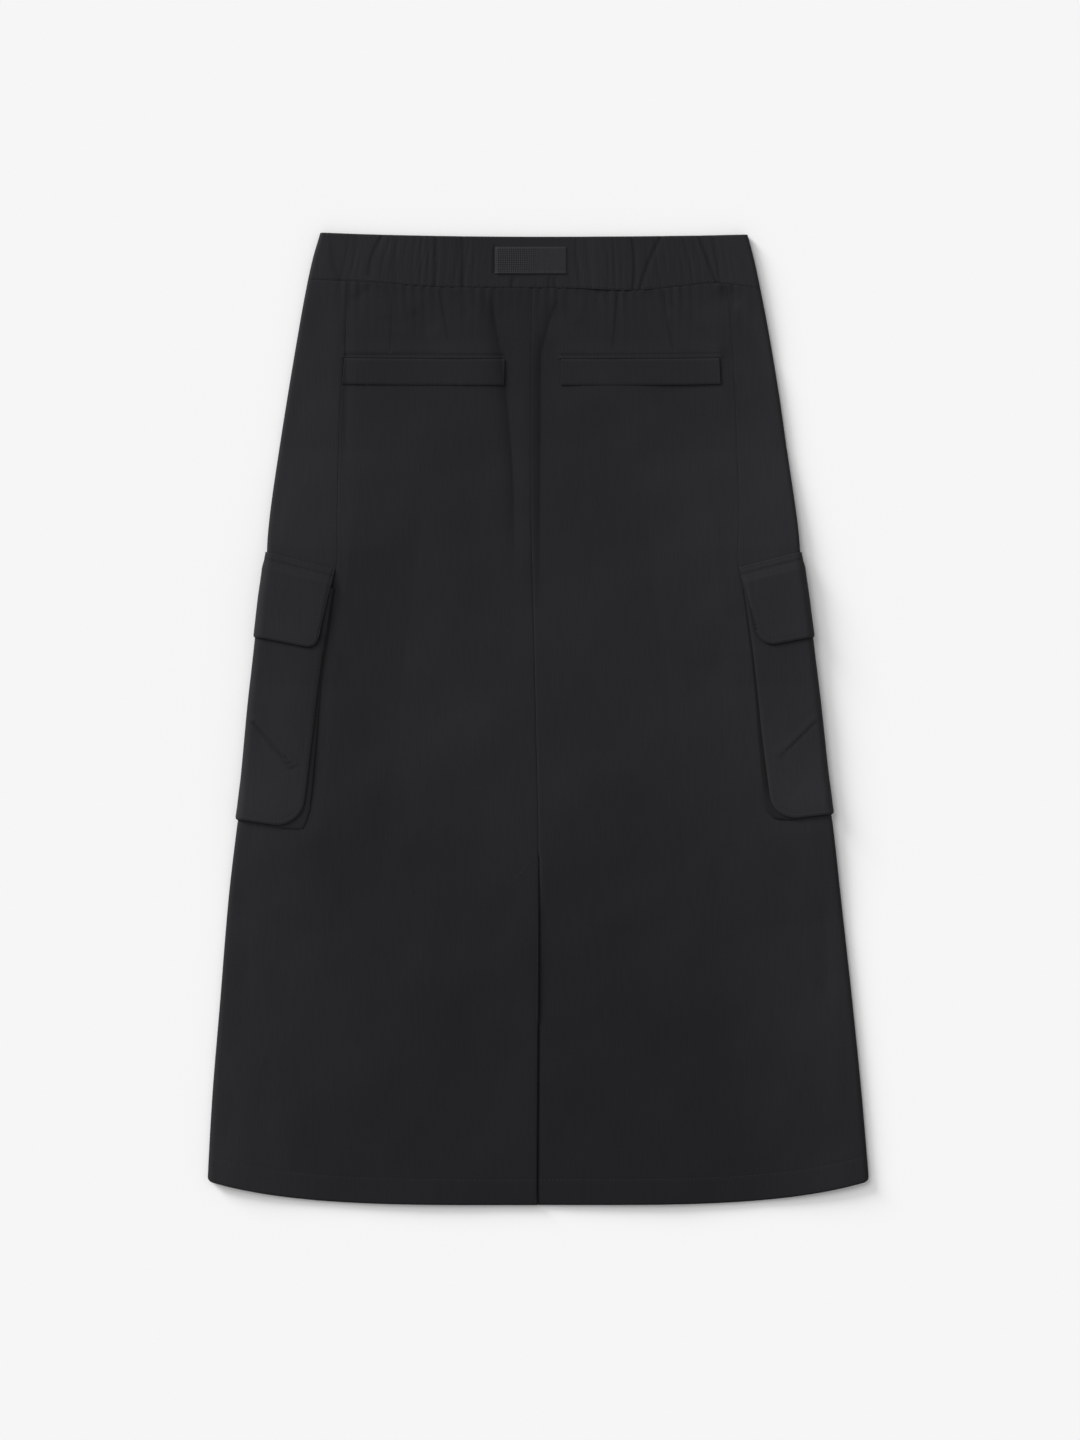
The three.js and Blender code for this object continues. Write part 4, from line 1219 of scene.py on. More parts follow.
    def back(self) -> None:
        """Lays the two back panels, which reach the side folds below the side panels."""
        fold = self.fixed(-1)
        turned = self.fixed(-1 + TUBE.fold)
        rows = self.rows(self.step)
        at_fold = np.linspace(0, 1, 7)
        side, wide = graded(42, self.step, False, True), graded(222, self.step)
        self.lay(
            "back_panel_left", (fold, turned, self.left_seam, self.centre_seam),
            joined(at_fold, side, wide), rows,
            lambda column, share: column < 2 and share < TUBE.side_end,
            fine=SEWN_LEFT + FOLD_LINES[:1],
        )
        mirrored = joined(wide, 1 - side[::-1], at_fold)
        self.lay(
            "back_panel_right",
            (self.centre_seam, self.right_seam, self.fixed(1 - TUBE.fold), self.fixed(1)),
            mirrored, rows,
            lambda column, share: column > 1 and share < TUBE.side_end,
            fine=SEWN_RIGHT + FOLD_LINES[1:],
        )

    def side(self) -> None:
        """Lays the side panels, which end under the cargo pockets."""
        rows = self.rows(self.step)
        rows = rows[rows <= TUBE.side_end]
        under = graded(55, self.coarse, True, False)
        at_fold = np.linspace(0, 1, 13)
        over = graded(42, self.step, False, True)
        front = 2 - TUBE.front_seam
        left = [self.fixed(turn) for turn in (-front, -1 - TUBE.fold, -1 + TUBE.fold)]
        self.lay("side_panel_left", (*left, self.left_seam), joined(under, at_fold, over), rows)
        right = [self.fixed(turn) for turn in (1 - TUBE.fold, 1 + TUBE.fold, front)]
        self.lay(
            "side_panel_right", (self.right_seam, *right),
            joined(1 - over[::-1], at_fold, 1 - under[::-1]), rows,
        )

    def front(self) -> None:
        """Lays the front panel, which widens to the side folds below the side panels."""
        seam = TUBE.front_seam
        knots = [1, 1 + TUBE.fold, 2 - seam, 2 + seam, 3 - TUBE.fold, 3]
        at_fold, beside = np.linspace(0, 1, 7), graded(60, self.coarse, False, True)
        columns = joined(at_fold, beside, graded(370, self.coarse), 1 - beside[::-1], at_fold)
        self.lay(
            "front_panel", [self.fixed(turn) for turn in knots], columns, self.rows(self.coarse),
            lambda column, share: not 2 < column < 3 and share < TUBE.side_end,
            surface=Surface(panel_height, front_lift),
        )

    def vent(self) -> None:
        """Lays the vent's underlap, sewn to the right panel and hidden by the left one."""
        rows = self.rows(self.coarse)
        rows = rows[rows > TUBE.vent_share]
        start = self.between(self.left_seam, self.centre_seam, 0.86)
        self.lay(
            "vent_underlap", (start, self.centre_seam), graded(35, 3), rows, surface=CARRIER,
            out=lambda turn, down: np.full_like(turn, -1.0 - GAP),
        )

    def welt_out(self, turn: Numbers, down: Numbers) -> Numbers:
        """A welt's outer face: flat, with rounded long edges."""
        share = TUBE.share(TUBE.across(turn), down)
        height = (self.welt_bottom - TUBE.welt_top) * TUBE.length
        top = (share - TUBE.welt_top) * TUBE.length
        edge = np.minimum(top, height - top)
        return GAP + self.welt_wall - 0.4 * bell(np.maximum(edge, 0), 1.0)

    def welts(self) -> None:
        """Lays the welts of the back pockets."""
        rows = blend(TUBE.welt_top, self.welt_bottom, graded(23, 1.6))
        left, right, centre = self.left_seam, self.right_seam, self.centre_seam
        self.lay(
            "welt_left", (left, self.between(left, centre, 0.86)), graded(142, 1.8), rows,
            surface=CARRIER, out=self.welt_out,
        )
        self.lay(
            "welt_right",
            (self.between(centre, right, 0.148), self.between(centre, right, 0.931)),
            graded(138, 1.8), rows, surface=CARRIER, out=self.welt_out,
        )

    def build(self) -> None:
        """Lays all the panels, and says what they are cut from."""
        self.back()
        self.side()
        self.front()
        self.vent()
        self.welts()
        declare(self.pieces["back_panel_left"], (302, 812), ["front_panel_cloth"])
        declare(self.pieces["back_panel_right"], (302, 812), ["front_panel_cloth"])
        declare(self.pieces["front_panel"], (590, 812))
        declare(self.pieces["vent_underlap"], (36, 304), ["front_panel_cloth"])
        for side in ("left", "right"):
            declare(self.pieces[f"side_panel_{side}"], (124, 416))
            back = f"back_panel_{side}_cloth"
            declare(self.pieces[f"welt_{side}"], (146, 24), [back])


def front_lift(across: Numbers, down: Numbers) -> Numbers:
    """Lift of the front panel, with the soft folds that are pushed up into it."""
    x = across * TUBE.half(across, down)
    return TUBE.lift(across, down) + sum(fold.sunk(x, down) for fold in FRONT_FOLDS)


def front_band_lift(across: Numbers, down: Numbers) -> Numbers:
    """Gathers of the waistband's front, pushed up into it."""
    x = across * TUBE.half(across, down)
    wave = 0.5 - 0.5 * np.cos(2 * math.pi * x / 8.2 + 0.9 * np.sin(x / 19))
    side = smoothstep(1 - np.abs(across), 0.04, 0.12)
    return 0.5 * wave ** 2 * side * (1 + 0.4 * np.sin(0.13 * x))


@dataclass
class Waistband:
    """The gathered waistband and the webbing patch at its middle."""

    cloth: bpy.types.Material
    webbing: bpy.types.Material
    join: float = 1.03
    wall: float = 1.8
    tab_rows: tuple[float, float] = (0.2, 0.74)
    tab_wall: float = 0.5
    bright: float = 1.04
    # painted shade in the band's creases
    painted_band_crease_shade: float = 0.3
    rib_pitch: float = 1.9
    rib_height: float = 0.44

    def placer(self, surface: Surface, knots: Sequence[float], out: float) -> Place:
        """Says where the corners of a net on the waistband lie.

        Args:
            surface: the face that it is laid on.
            knots: the turns at which its columns are 0, 1, 2 and so on.
            out: how far out from the face it lies.

        Returns:
            The function that places the corners.
        """
        def place(column: Numbers, share: Numbers, nudge: Numbers) -> Net:
            """Places the net's corners."""
            turn = np.interp(column, np.arange(len(knots)), knots)
            across = TUBE.across(turn)
            row = blend(TUBE.waist(across), TUBE.seam(turn), share)
            down = row + nudge[:, 1] * SEAM_GAP / 2
            turn = turn + nudge[:, 0] * SEAM_GAP / 2 / TUBE.half(across, down)
            points = surface.out(turn, down, np.full_like(turn, out))
            x = turn * TUBE.half(across, down)
            # painted shade in the band's creases and in those by the webbing
            sunk = sum(crease.sunk(x, share) for crease in BAND_CREASES + TAB_CREASES)
            painted_crease_shade = self.painted_band_crease_shade * sunk
            tone = np.where(np.abs(turn) < 1, self.bright - painted_crease_shade, self.bright)
            return Net(points, turn, down, PAINTED_LIGHT_AND_TONE.tone(turn, down) * tone)
        return place

    def band(self) -> None:
        """Lays the back and the front of the band round the tube."""
        rows = graded(44, 1.9)
        fold, join = TUBE.fold, self.join
        knots = (-join, -1 - fold, -1 + fold, 1 - fold, 1 + fold, join)
        columns = joined(
            np.linspace(0, 1, 3), np.linspace(0, 1, 13), np.linspace(0, 1, 400),
            np.linspace(0, 1, 13), np.linspace(0, 1, 3),
        )
        back = lay_cloth(
            "waistband_back_cloth", columns, rows, self.placer(BAND, knots, 0), self.wall,
        )
        attach(back, self.cloth, Slot.TWILL, "waistband_back")
        declare(back, (560, 50), ["waistband_front_cloth"])
        under = Surface(BAND_SHAPE.height, front_band_lift)
        front = lay_cloth(
            "waistband_front_cloth", np.linspace(0, 1, 230), rows,
            self.placer(under, (join, 4 - join), 0), self.wall,
        )
        attach(front, self.cloth, Slot.TWILL, "waistband_front")
        declare(front, (460, 50))

    def weave(self, x: Numbers, down: Numbers) -> Numbers:
        """Height of the webbing's square rib, which is flatter on its right half."""
        weft = np.abs(np.sin(math.pi * x / self.rib_pitch + 0.5 * np.sin(down / 5)))
        warp = np.abs(np.sin(math.pi * down / self.rib_pitch))
        worn = 0.25 + 0.75 * (1 - smoothstep(x, -14, 2))
        return self.rib_height * worn * weft * warp

    def tab(self) -> None:
        """Lays the webbing patch on the band, between two of its gathers."""
        low, high = self.tab_rows
        shape = BAND_SHAPE

        def place(column: Numbers, share: Numbers, nudge: Numbers) -> Net:
            """Places the net's corners."""
            row = blend(low, high, share)
            down = blend(TUBE.waist(0.0), TUBE.seam(0.0), row)
            x = blend(shape.tab_left, shape.tab_right, column)
            turn = x / TUBE.half(x, down)
            width = shape.tab_right - shape.tab_left
            height = (TUBE.seam(0.0) - TUBE.waist(0.0)) * (high - low)
            aside = np.minimum(column, 1 - column) * width
            edge = np.minimum(aside, np.minimum(share, 1 - share) * height)
            rounded = 0.5 * bell(edge, 0.7)
            selvedge = 0.25 * bell((1 - share) * height - 1.2, 0.8)
            out = GAP + self.tab_wall + self.weave(x, down) - 0.25 - rounded + selvedge
            # painted highlight along the webbing's lower edge
            painted_edge_highlight = 1 + 0.5 * bell((1 - share) * height - 0.9, 0.7)
            return Net(BAND.out(turn, down, out), turn, down, painted_edge_highlight)

        patch = lay_cloth(
            "webbing_tab_woven", np.linspace(0, 1, 133), np.linspace(0, 1, 51), place, 0.35,
        )
        attach(patch, self.webbing, Slot.WEBBING, "webbing_tab")
        declare(patch, (64, 25), ["waistband_back_cloth"])

    def build(self) -> None:
        """Lays the band and its patch."""
        self.band()
        self.tab()


@dataclass(frozen=True)
class PocketShape:
    """Sizes of one cargo pocket, which the part's source has too.

    edge gives the distance from the fold to the front's edge at four heights, and flap the
    flap's at its top and its bottom. gusset gives how far the gusset shows round the
    front's corner, low how much brighter the pocket's pieces are low down, and the last
    field how bright the gusset is painted beside the front and below it, a painted shade.
    """

    bottom: float
    slope: float
    corner: float
    edge: tuple[float, ...]
    flap: tuple[float, float]
    flap_corner: float
    gusset: tuple[float, ...]
    tuck: Crease
    low: float
    painted_gusset_shade: tuple[float, float]


POCKET_SHAPES = {
    Side.LEFT: PocketShape(
        509.6, 0.15, 24, (61.3, 58.5, 57.2, 55.7), (60.3, 53.5), 10, (5, 7, 11, 4.5, 0.7),
        Crease(3, 424, 44, 468, 0, 0.8, 1.4, 0.06, 0.06), 0.16, (0.95, 1.0),
    ),
    Side.RIGHT: PocketShape(
        504.8, 0.12, 22, (53, 51.8, 52.5, 51.2), (54.5, 46.5), 16, (5.5, 7.5, 7, 3, 0.7),
        Crease(3, 424, 43, 460, 0, 0.35, 1.2, 0.06, 0.06), 0.2, (0.4, 0.7),
    ),
}


@dataclass
class CargoPocket:
    """A bellows pocket laid round a side fold, with its gusset and its flap.

    Places on it are given by "away", the distance from the fold, which is positive on the
    back and negative underneath.
    """

    side: Side
    cloth: bpy.types.Material
    width: float = 114
    top: float = 294
    flap_top: float = 277.5
    flap_bottom: float = 351.7
    flap_top_slope: float = 0.25
    flap_slope: float = 0.19
    flap_band: float = 6.6
    flap_ridge: float = 0.25
    wall: float = 1.0
    front_bright: float = 1.22
    flap_bright: float = 1.28
    # painted highlight towards the side fold
    painted_fold_highlight: float = 0.12
    step: float = 1.3

    @property
    def shape(self) -> PocketShape:
        """The sizes of this side's pocket."""
        return POCKET_SHAPES[self.side]

    @property
    def name(self) -> str:
        """The side's name."""
        return self.side.name.lower()

    def half(self, down: Numbers, on_back: Numbers) -> Numbers:
        """Distance from the fold to the pocket's edge."""
        back = np.interp(down, (290, 362, 440, 515), self.shape.edge)
        return np.where(on_back, back, self.width - back)

    def turn(self, away: Numbers, down: Numbers) -> Numbers:
        """The way round the tube at a distance from the fold."""
        sign = self.side.value
        return sign * (1 - away / TUBE.half(sign, down))

    def corner_rise(self, radius: float, from_side: Numbers) -> Numbers:
        """How far an edge with rounded corners draws back."""
        inside = np.clip(radius - from_side, 0, radius)
        return radius - np.sqrt(radius ** 2 - inside ** 2)

    def round_margin(self, radius: float, to_side: Numbers, to_bottom: Numbers) -> Numbers:
        """Distance to the nearer of two edges that meet in a rounded corner."""
        in_corner = (to_side < radius) & (to_bottom < radius)
        arc = radius - np.hypot(radius - to_side, radius - to_bottom)
        return np.where(in_corner, arc, np.minimum(to_side, to_bottom))

    def bottom_at(self, away: Numbers, half: Numbers) -> Numbers:
        """Distance down of the pocket's bottom edge."""
        shape = self.shape
        rise = self.corner_rise(shape.corner, half - np.abs(away))
        return shape.bottom + shape.slope * np.abs(away) - rise

    def margin(self, away: Numbers, down: Numbers) -> Numbers:
        """Distance to the nearest of the pocket's side and bottom edges."""
        shape = self.shape
        to_side = self.half(down, away > 0) - np.abs(away)
        to_bottom = shape.bottom + shape.slope * np.abs(away) - down
        return self.round_margin(shape.corner, to_side, to_bottom)

    def offset(self, away: Numbers, down: Numbers) -> Numbers:
        """How far the pocket's front stands off the panel: more round its edges."""
        shape = self.shape
        to_bottom = shape.bottom + shape.slope * np.abs(away) - down
        margin = np.minimum(self.half(down, away > 0) - np.abs(away), to_bottom)
        return GAP + (1 + GAP) * (1 - 0.35 * smoothstep(margin, 14, 40))

    def tuck(self, away: Numbers, down: Numbers) -> Numbers:
        """The diagonal tuck in the pocket's front, with a soft ridge above it."""
        line = self.shape.tuck
        ridge = replace(line, down=line.down - 4, to_down=line.to_down - 4, depth=-0.3, width=3)
        return line.sunk(away, down) + ridge.sunk(away, down)

    def relief(self, away: Numbers, down: Numbers) -> Numbers:
        """Fine form of the pocket's front: its turned edge, its tuck and soft dents."""
        margin = self.margin(away, down)
        on_back = smoothstep(away, -2, 4)
        rounded = 0.6 * bell(np.maximum(margin, 0), 1.0)
        stitched = 0.12 * bell(margin - 4.6, 1.3)
        dents = 0.16 * np.sin(down / 21 + away / 33 + 0.4 * self.side.value)
        dents = dents + 0.12 * np.sin(down / 13 - away / 17 + 1.3)
        inner = smoothstep(margin, 2, 16)
        return on_back * (dents * inner - stitched - self.tuck(away, down)) - rounded

    def tone(self, turn: Numbers, down: Numbers, factor: float) -> Numbers:
        """How bright the pocket is painted: lighter towards the fold, a painted highlight, and
        brighter low down.
        """
        across = np.abs(TUBE.across(turn))
        low = smoothstep(down, 400, 500) * self.shape.low
        # painted highlight towards the fold
        return factor * (1 + self.painted_fold_highlight * smoothstep(across, 0.76, 1.0) + low)

    def lay(
        self, name: str, columns: Numbers, rows: Numbers, place: Place,
    ) -> bpy.types.Object:
        """Makes one of the pocket's pieces and attaches it in place of its CAD node."""
        node = f"{name}_{self.name}"
        piece = lay_cloth(f"{node}_cloth", columns, rows, place, CLOTH)
        attach(piece, self.cloth, Slot.TWILL, node)
        return piece

    def columns(self, corner: float) -> Numbers:
        """Columns from the underside's edge to the back's, from -1 to 1, in order of x."""
        half = self.width / 2
        inner = half - corner
        angles = np.linspace(0, math.pi / 2, 9)
        rounded = inner + corner * np.sin(angles)
        plain = np.concatenate([np.arange(0, 6, 0.9), np.linspace(6, inner, round(inner / 1.9))])
        one_side = np.concatenate([plain, rounded[1:]]) / half
        return np.concatenate([-one_side[:0:-1], one_side])

    def place_round(
        self, top: Callable, bottom: Callable, half: Callable, out: Field, bright: float,
        shade: Field,
    ) -> Place:
        """Says where the corners of a net round the fold lie.

        Args:
            top: distance down of its top edge, from the distance away.
            bottom: distance down of its bottom edge, from the distance away and the half.
            half: distance from the fold to its edge.
            out: how far its outer face stands off the panel.
            bright: how bright it is painted.
            shade: a factor for that, from place to place, its painted shade.

        Returns:
            The function that places the corners.
        """
        def place(column: Numbers, row: Numbers, nudge: Numbers) -> Net:
            """Places the net's corners."""
            column = column * -self.side.value
            on_back = column > 0
            nominal = blend(top(0.0), bottom(0.0, self.width / 2), row)
            edge = half(nominal, on_back)
            away = column * edge
            down = blend(top(away), bottom(away, edge), row)
            turn = self.turn(away, down)
            points = CARRIER.out(turn, down, out(away, down))
            tone = self.tone(turn, down, bright) * shade(away, down)
            return Net(points, turn, down, tone)
        return place

    def front_shade(self, away: Numbers, down: Numbers) -> Numbers:
        """Painted shade on the front: darker along its tuck, and a painted shadow below the flap's
        edge.
        """
        outside = np.maximum(0, -self.flap_margin(away, down))
        # painted shadow below the flap's edge
        painted_flap_shadow = 0.24 * bell(outside, 1.8) + 0.1 * np.exp(-outside / 6)
        # painted shade along the tuck
        return 1 - 0.3 * self.shape.tuck.sunk(away, down) - painted_flap_shadow

    def below_top(self, away: Numbers, down: Numbers) -> Numbers:
        """Distance below the flap's top edge."""
        return down - self.flap_top - self.flap_top_slope * np.abs(away)

    def flap_shade(self, away: Numbers, down: Numbers) -> Numbers:
        """Painted shade on the flap, darker where it comes down from its stitched band."""
        below = self.below_top(away, down)
        # painted shade below the stitched band
        return 1 - 0.14 * bell(below - self.flap_band, 6)

    def front_out(self, away: Numbers, down: Numbers) -> Numbers:
        """Height of the front's outer face over the panel."""
        return self.offset(away, down) + self.wall + self.relief(away, down)

    def front(self) -> None:
        """Lays the pocket's front."""
        place = self.place_round(
            lambda away: self.top + self.flap_top_slope * np.abs(away), self.bottom_at,
            self.half, self.front_out, self.front_bright, self.front_shade,
        )
        rows = graded(215, self.step)
        piece = self.lay("cargo_pocket", self.columns(self.shape.corner), rows, place)
        declare(piece, (118, 226), [f"cargo_gusset_{self.name}_cloth"])

    def flap_half(self, down: Numbers, on_back: Numbers) -> Numbers:
        """Distance from the fold to the flap's edge."""
        share = np.clip((down - self.flap_top) / (self.flap_bottom - self.flap_top), 0, 1)
        back = blend(*self.shape.flap, share)
        return np.where(on_back, back, self.half(down, on_back) - blend(4.0, 6.0, share))

    def flap_bottom_at(self, away: Numbers, half: Numbers) -> Numbers:
        """Distance down of the flap's bottom edge."""
        rise = self.corner_rise(self.shape.flap_corner, half - np.abs(away))
        return self.flap_bottom + self.flap_slope * np.abs(away) - rise

    def flap_margin(self, away: Numbers, down: Numbers) -> Numbers:
        """Distance to the nearest of the flap's side and bottom edges."""
        to_side = self.flap_half(down, away > 0) - np.abs(away)
        to_bottom = self.flap_bottom + self.flap_slope * np.abs(away) - down
        return self.round_margin(self.shape.flap_corner, to_side, to_bottom)

    def flap_out(self, away: Numbers, down: Numbers) -> Numbers:
        """Height of the flap's outer face over the panel, with its raised stitched band."""
        below = self.below_top(away, down)
        landed = np.clip((below - 2) / 12, 0, 1)
        base = GAP + landed * (self.offset(away, down) + self.wall) + self.wall
        on_back = smoothstep(away, -4, 4)
        band = np.clip(below / self.flap_band, 0, 1)
        ridge = self.flap_ridge * np.sin(math.pi * band)
        groove = 0.3 * bell(below - self.flap_band - 0.4, 1.1)
        margin = self.flap_margin(away, down)
        lip = 0.4 * (1 - smoothstep(margin, 0, 18)) * smoothstep(below, 12, 30)
        rounded = 0.6 * bell(np.maximum(margin, 0), 1.0)
        stitched = 0.1 * bell(margin - 4.5, 1.2)
        waves = 0.08 * np.sin(away / 11 + below / 17 + self.side.value)
        return base + on_back * (ridge - groove + lip - stitched + waves * landed) - rounded

    def flap(self) -> None:
        """Lays the flap over the pocket's top."""
        place = self.place_round(
            lambda away: self.flap_top + self.flap_top_slope * np.abs(away),
            self.flap_bottom_at, self.flap_half, self.flap_out, self.flap_bright,
            self.flap_shade,
        )
        height = self.flap_bottom - self.flap_top
        band = np.linspace(0, self.flap_band, 10)
        rest = graded(height - self.flap_band, self.step, False, True)
        rows = np.concatenate([band[:-1], blend(self.flap_band, height, rest)]) / height
        columns = self.columns(self.shape.flap_corner)
        piece = self.lay("cargo_flap", columns, rows, place)
        declare(piece, (106, 80), [f"cargo_pocket_{self.name}_cloth"])

    def gusset(self) -> None:
        """Lays the gusset, a strip under the front's edge, round its sides and bottom."""
        shape = self.shape
        start = self.top + self.flap_top_slope * self.width / 2
        upright = shape.bottom + shape.slope * self.width / 2 - shape.corner - start
        arc = shape.corner * math.pi / 2
        level = self.width / 2 - shape.corner

        def shown(along: Numbers) -> Numbers:
            """How far the strip shows from under the front's edge."""
            beside = np.interp(start + along, (300, 400, 460, 490), (1.5, 2.5, 4, 5))
            angle = np.degrees((along - upright) / shape.corner)
            corner = np.interp(angle, (0, 22, 42, 62, 90), shape.gusset)
            return np.where(along < upright, beside, corner)

        def station(along: Numbers, out: Numbers, on_back: bool) -> tuple[Numbers, Numbers]:
            """Distance away and down of places along the strip."""
            down_side = start + np.clip(along, 0, upright)
            angle = np.clip((along - upright) / arc, 0, 1) * math.pi / 2
            inward = np.clip(along - upright - arc, 0, level)
            half = self.half(np.where(along < upright, down_side, shape.bottom), on_back)
            reach = shape.corner + out
            away = np.where(
                along < upright, half + out,
                (half - shape.corner) * (1 - inward / level) + reach * np.cos(angle),
            )
            low = shape.bottom + shape.slope * away - shape.corner + reach * np.sin(angle)
            return away, np.where(along < upright, down_side, low)

        total = upright + arc + level

        def place(column: Numbers, row: Numbers, nudge: Numbers) -> Net:
            """Places the net's corners."""
            column = column if self.side is Side.LEFT else 2 - column
            along = np.where(column < 1, column, 2 - column) * total
            out = blend(-9.0, shown(along), row)
            back, under = station(along, out, True), station(along, out, False)
            away = np.where(column < 1, -under[0], back[0])
            down = np.where(column < 1, under[1], back[1])
            turn = self.turn(away, down)
            rounded = 0.45 * bell(np.maximum(shown(along) - out, 0), 1.1)
            points = CARRIER.out(turn, down, GAP + 0.9 - rounded)
            # painted shade on the gusset, darkest beside the front, which overhangs it
            shade = blend(*shape.painted_gusset_shade, smoothstep(along, upright - 12, upright + 8))
            return Net(points, turn, down, self.tone(turn, down, 1.0) * shade)
        columns = joined(np.linspace(0, 1, 150), np.linspace(0, 1, 150))
        rows = np.array([0, 0.25, 0.5, 0.7, 0.82, 0.9, 0.96, 1])
        piece = self.lay("cargo_gusset", columns, rows, place)
        declare(piece, (13, 560), [f"back_panel_{self.name}_cloth"])

    def build(self) -> None:
        """Lays the gusset, the front and the flap, from the panel outwards."""
        self.gusset()
        self.front()
        self.flap()


@dataclass
class Sewing:
    """Rows of topstitches, each stitch a short bead of thread on the cloth."""

    thread: bpy.types.Material
    length: float = 2.7
    pitch: float = 3.5
    width: float = 0.5
    height: float = 0.24
    proud: float = 0.04
    inset: float = 4.5
    beside: float = 3.2

    def row(self, net: bmesh.types.BMesh, points: Numbers, normals: Numbers) -> None:
        """Sews one row of stitches.

        Args:
            net: the mesh that the stitches are added to.
            points: places close together along the row.
            normals: the directions out of the cloth there.
        """
        steps = np.linalg.norm(np.diff(points, axis=0), axis=1)
        reach = np.concatenate([[0], np.cumsum(steps)])
        count = int(reach[-1] // self.pitch)
        for i in range(count):
            middle = (i + 0.5) * self.pitch
            ends = [
                np.array([np.interp(middle + shift, reach, points[:, k]) for k in range(3)])
                for shift in (-self.length / 2, self.length / 2)
            ]
            out = np.array([np.interp(middle, reach, normals[:, k]) for k in range(3)])
            along = Vector(ends[1] - ends[0]).normalized()
            up = Vector(out).normalized()
            aside = up.cross(along).normalized()
            up = along.cross(aside)
            turned = Matrix((along, aside, up)).transposed().to_4x4()
            size = Vector((self.length, self.width, self.height)) * (METRES / 2)
            place = Matrix.Translation(Vector((ends[0] + ends[1]) / 2) * METRES)
            matrix = place @ turned @ Matrix.Diagonal(size).to_4x4()
            bmesh.ops.create_uvsphere(net, u_segments=6, v_segments=4, radius=1, matrix=matrix)

    def on(self, net: bmesh.types.BMesh, surface: Surface, turn: Numbers, down: Numbers,
           out: Numbers) -> None:
        """Sews a row that lies on a face of the tube.

        Args:
            net: the mesh that the stitches are added to.
            surface: the face.
            turn: the way round the tube, along the row.
            down: distances below the waist, along the row.
            out: how far out from the face the row lies.
        """
        self.row(net, surface.out(turn, down, out), surface.normal(turn, down))

    def finish(self, net: bmesh.types.BMesh, name: str) -> None:
        """Makes a piece of the stitches."""
        mesh = bpy.data.meshes.new(name)
        net.to_mesh(mesh)
        net.free()
        mesh.shade_smooth()
        piece = bpy.data.objects.new(name, mesh)
        bpy.context.scene.collection.objects.link(piece)
        attach(piece, self.thread, Slot.TWILL)

    def line(self, start: tuple[float, float], end: tuple[float, float]) -> tuple[Numbers, Numbers]:
        """Places along a straight row from one x, down to another, as turn and down."""
        count = 60
        x = np.linspace(start[0], end[0], count)
        down = np.linspace(start[1], end[1], count)
        return x / TUBE.half(x, down), down

    def panels(self) -> None:
        """Sews the hem, the waistband's seam, the vent and the welts."""
        net = bmesh.new()
        across = np.linspace(-0.985, 0.985, 600)
        hem = TUBE.hem(across) - RELIEF.hem_width
        self.on(net, SKIN, across, hem, np.full_like(across, self.proud))
        band = TUBE.seam(across) - 2.2
        self.on(net, BAND, across, band, np.full_like(across, self.proud))
        flat = np.full(60, self.proud)
        for start, end in (
            ((-7.2, 547), (-33.3, 576)),
            ((-169, 106.4), (-31, 106.4)), ((18, 106.8), (159, 105.4)),
            ((18, 106), (18, 134)), ((159.5, 104), (159.5, 132)),
        ):
            self.on(net, SKIN, *self.line(start, end), flat)
        self.finish(net, "topstitch_body")

    def pocket(self, pocket: CargoPocket) -> None:
        """Sews the edges of a cargo pocket, its tuck and its flap.

        Args:
            pocket: the pocket.
        """
        net = bmesh.new()
        shape = pocket.shape

        def sew(away: Numbers, down: Numbers, height: Field) -> None:
            """Sews a row at a height over the panel."""
            out = height(away, down) + self.proud
            self.on(net, CARRIER, pocket.turn(away, down), down, out)

        def outlined(
            first: Numbers, half: Callable, bottom: float, slope: float, corner: float,
        ) -> tuple[Numbers, Numbers]:
            """Places inside an edge: down the side, round the corner and along the bottom."""
            inside = float(half(bottom, True)) - corner
            angle = np.linspace(0, math.pi / 2, 40)
            radius = max(corner - self.inset, 1.0)
            arc_away = float(half(bottom, True)) - self.inset - radius * (1 - np.cos(angle))
            arc_down = bottom + slope * inside - self.inset - radius * (1 - np.sin(angle))
            down = np.linspace(first, arc_down[0], 120)[:-1]
            level = np.linspace(arc_away[-1], 3, 60)[1:]
            level_down = bottom + slope * level - self.inset
            level_down = level_down + (arc_down[-1] - level_down[0])
            away = np.concatenate([half(down, True) - self.inset, arc_away, level])
            return away, np.concatenate([down, arc_down, level_down])

        sew(
            *outlined(
                pocket.flap_bottom + 8, pocket.half, shape.bottom, shape.slope, shape.corner,
            ),
            pocket.front_out,
        )
        sew(
            *outlined(
                pocket.flap_top + 28, pocket.flap_half, pocket.flap_bottom, pocket.flap_slope,
                shape.flap_corner,
            ),
            pocket.flap_out,
        )
        across = np.linspace(2, shape.flap[0] - 2, 60)
        for below in (1.3, pocket.flap_band):
            sew(across, pocket.flap_top + pocket.flap_top_slope * across + below, pocket.flap_out)
        tuck = shape.tuck
        along = np.linspace(0.1, 0.9, 60)
        away = blend(tuck.x, tuck.to_x, along) + self.beside
        sew(away, blend(tuck.down, tuck.to_down, along), pocket.front_out)
        self.finish(net, f"topstitch_pocket_{pocket.name}")


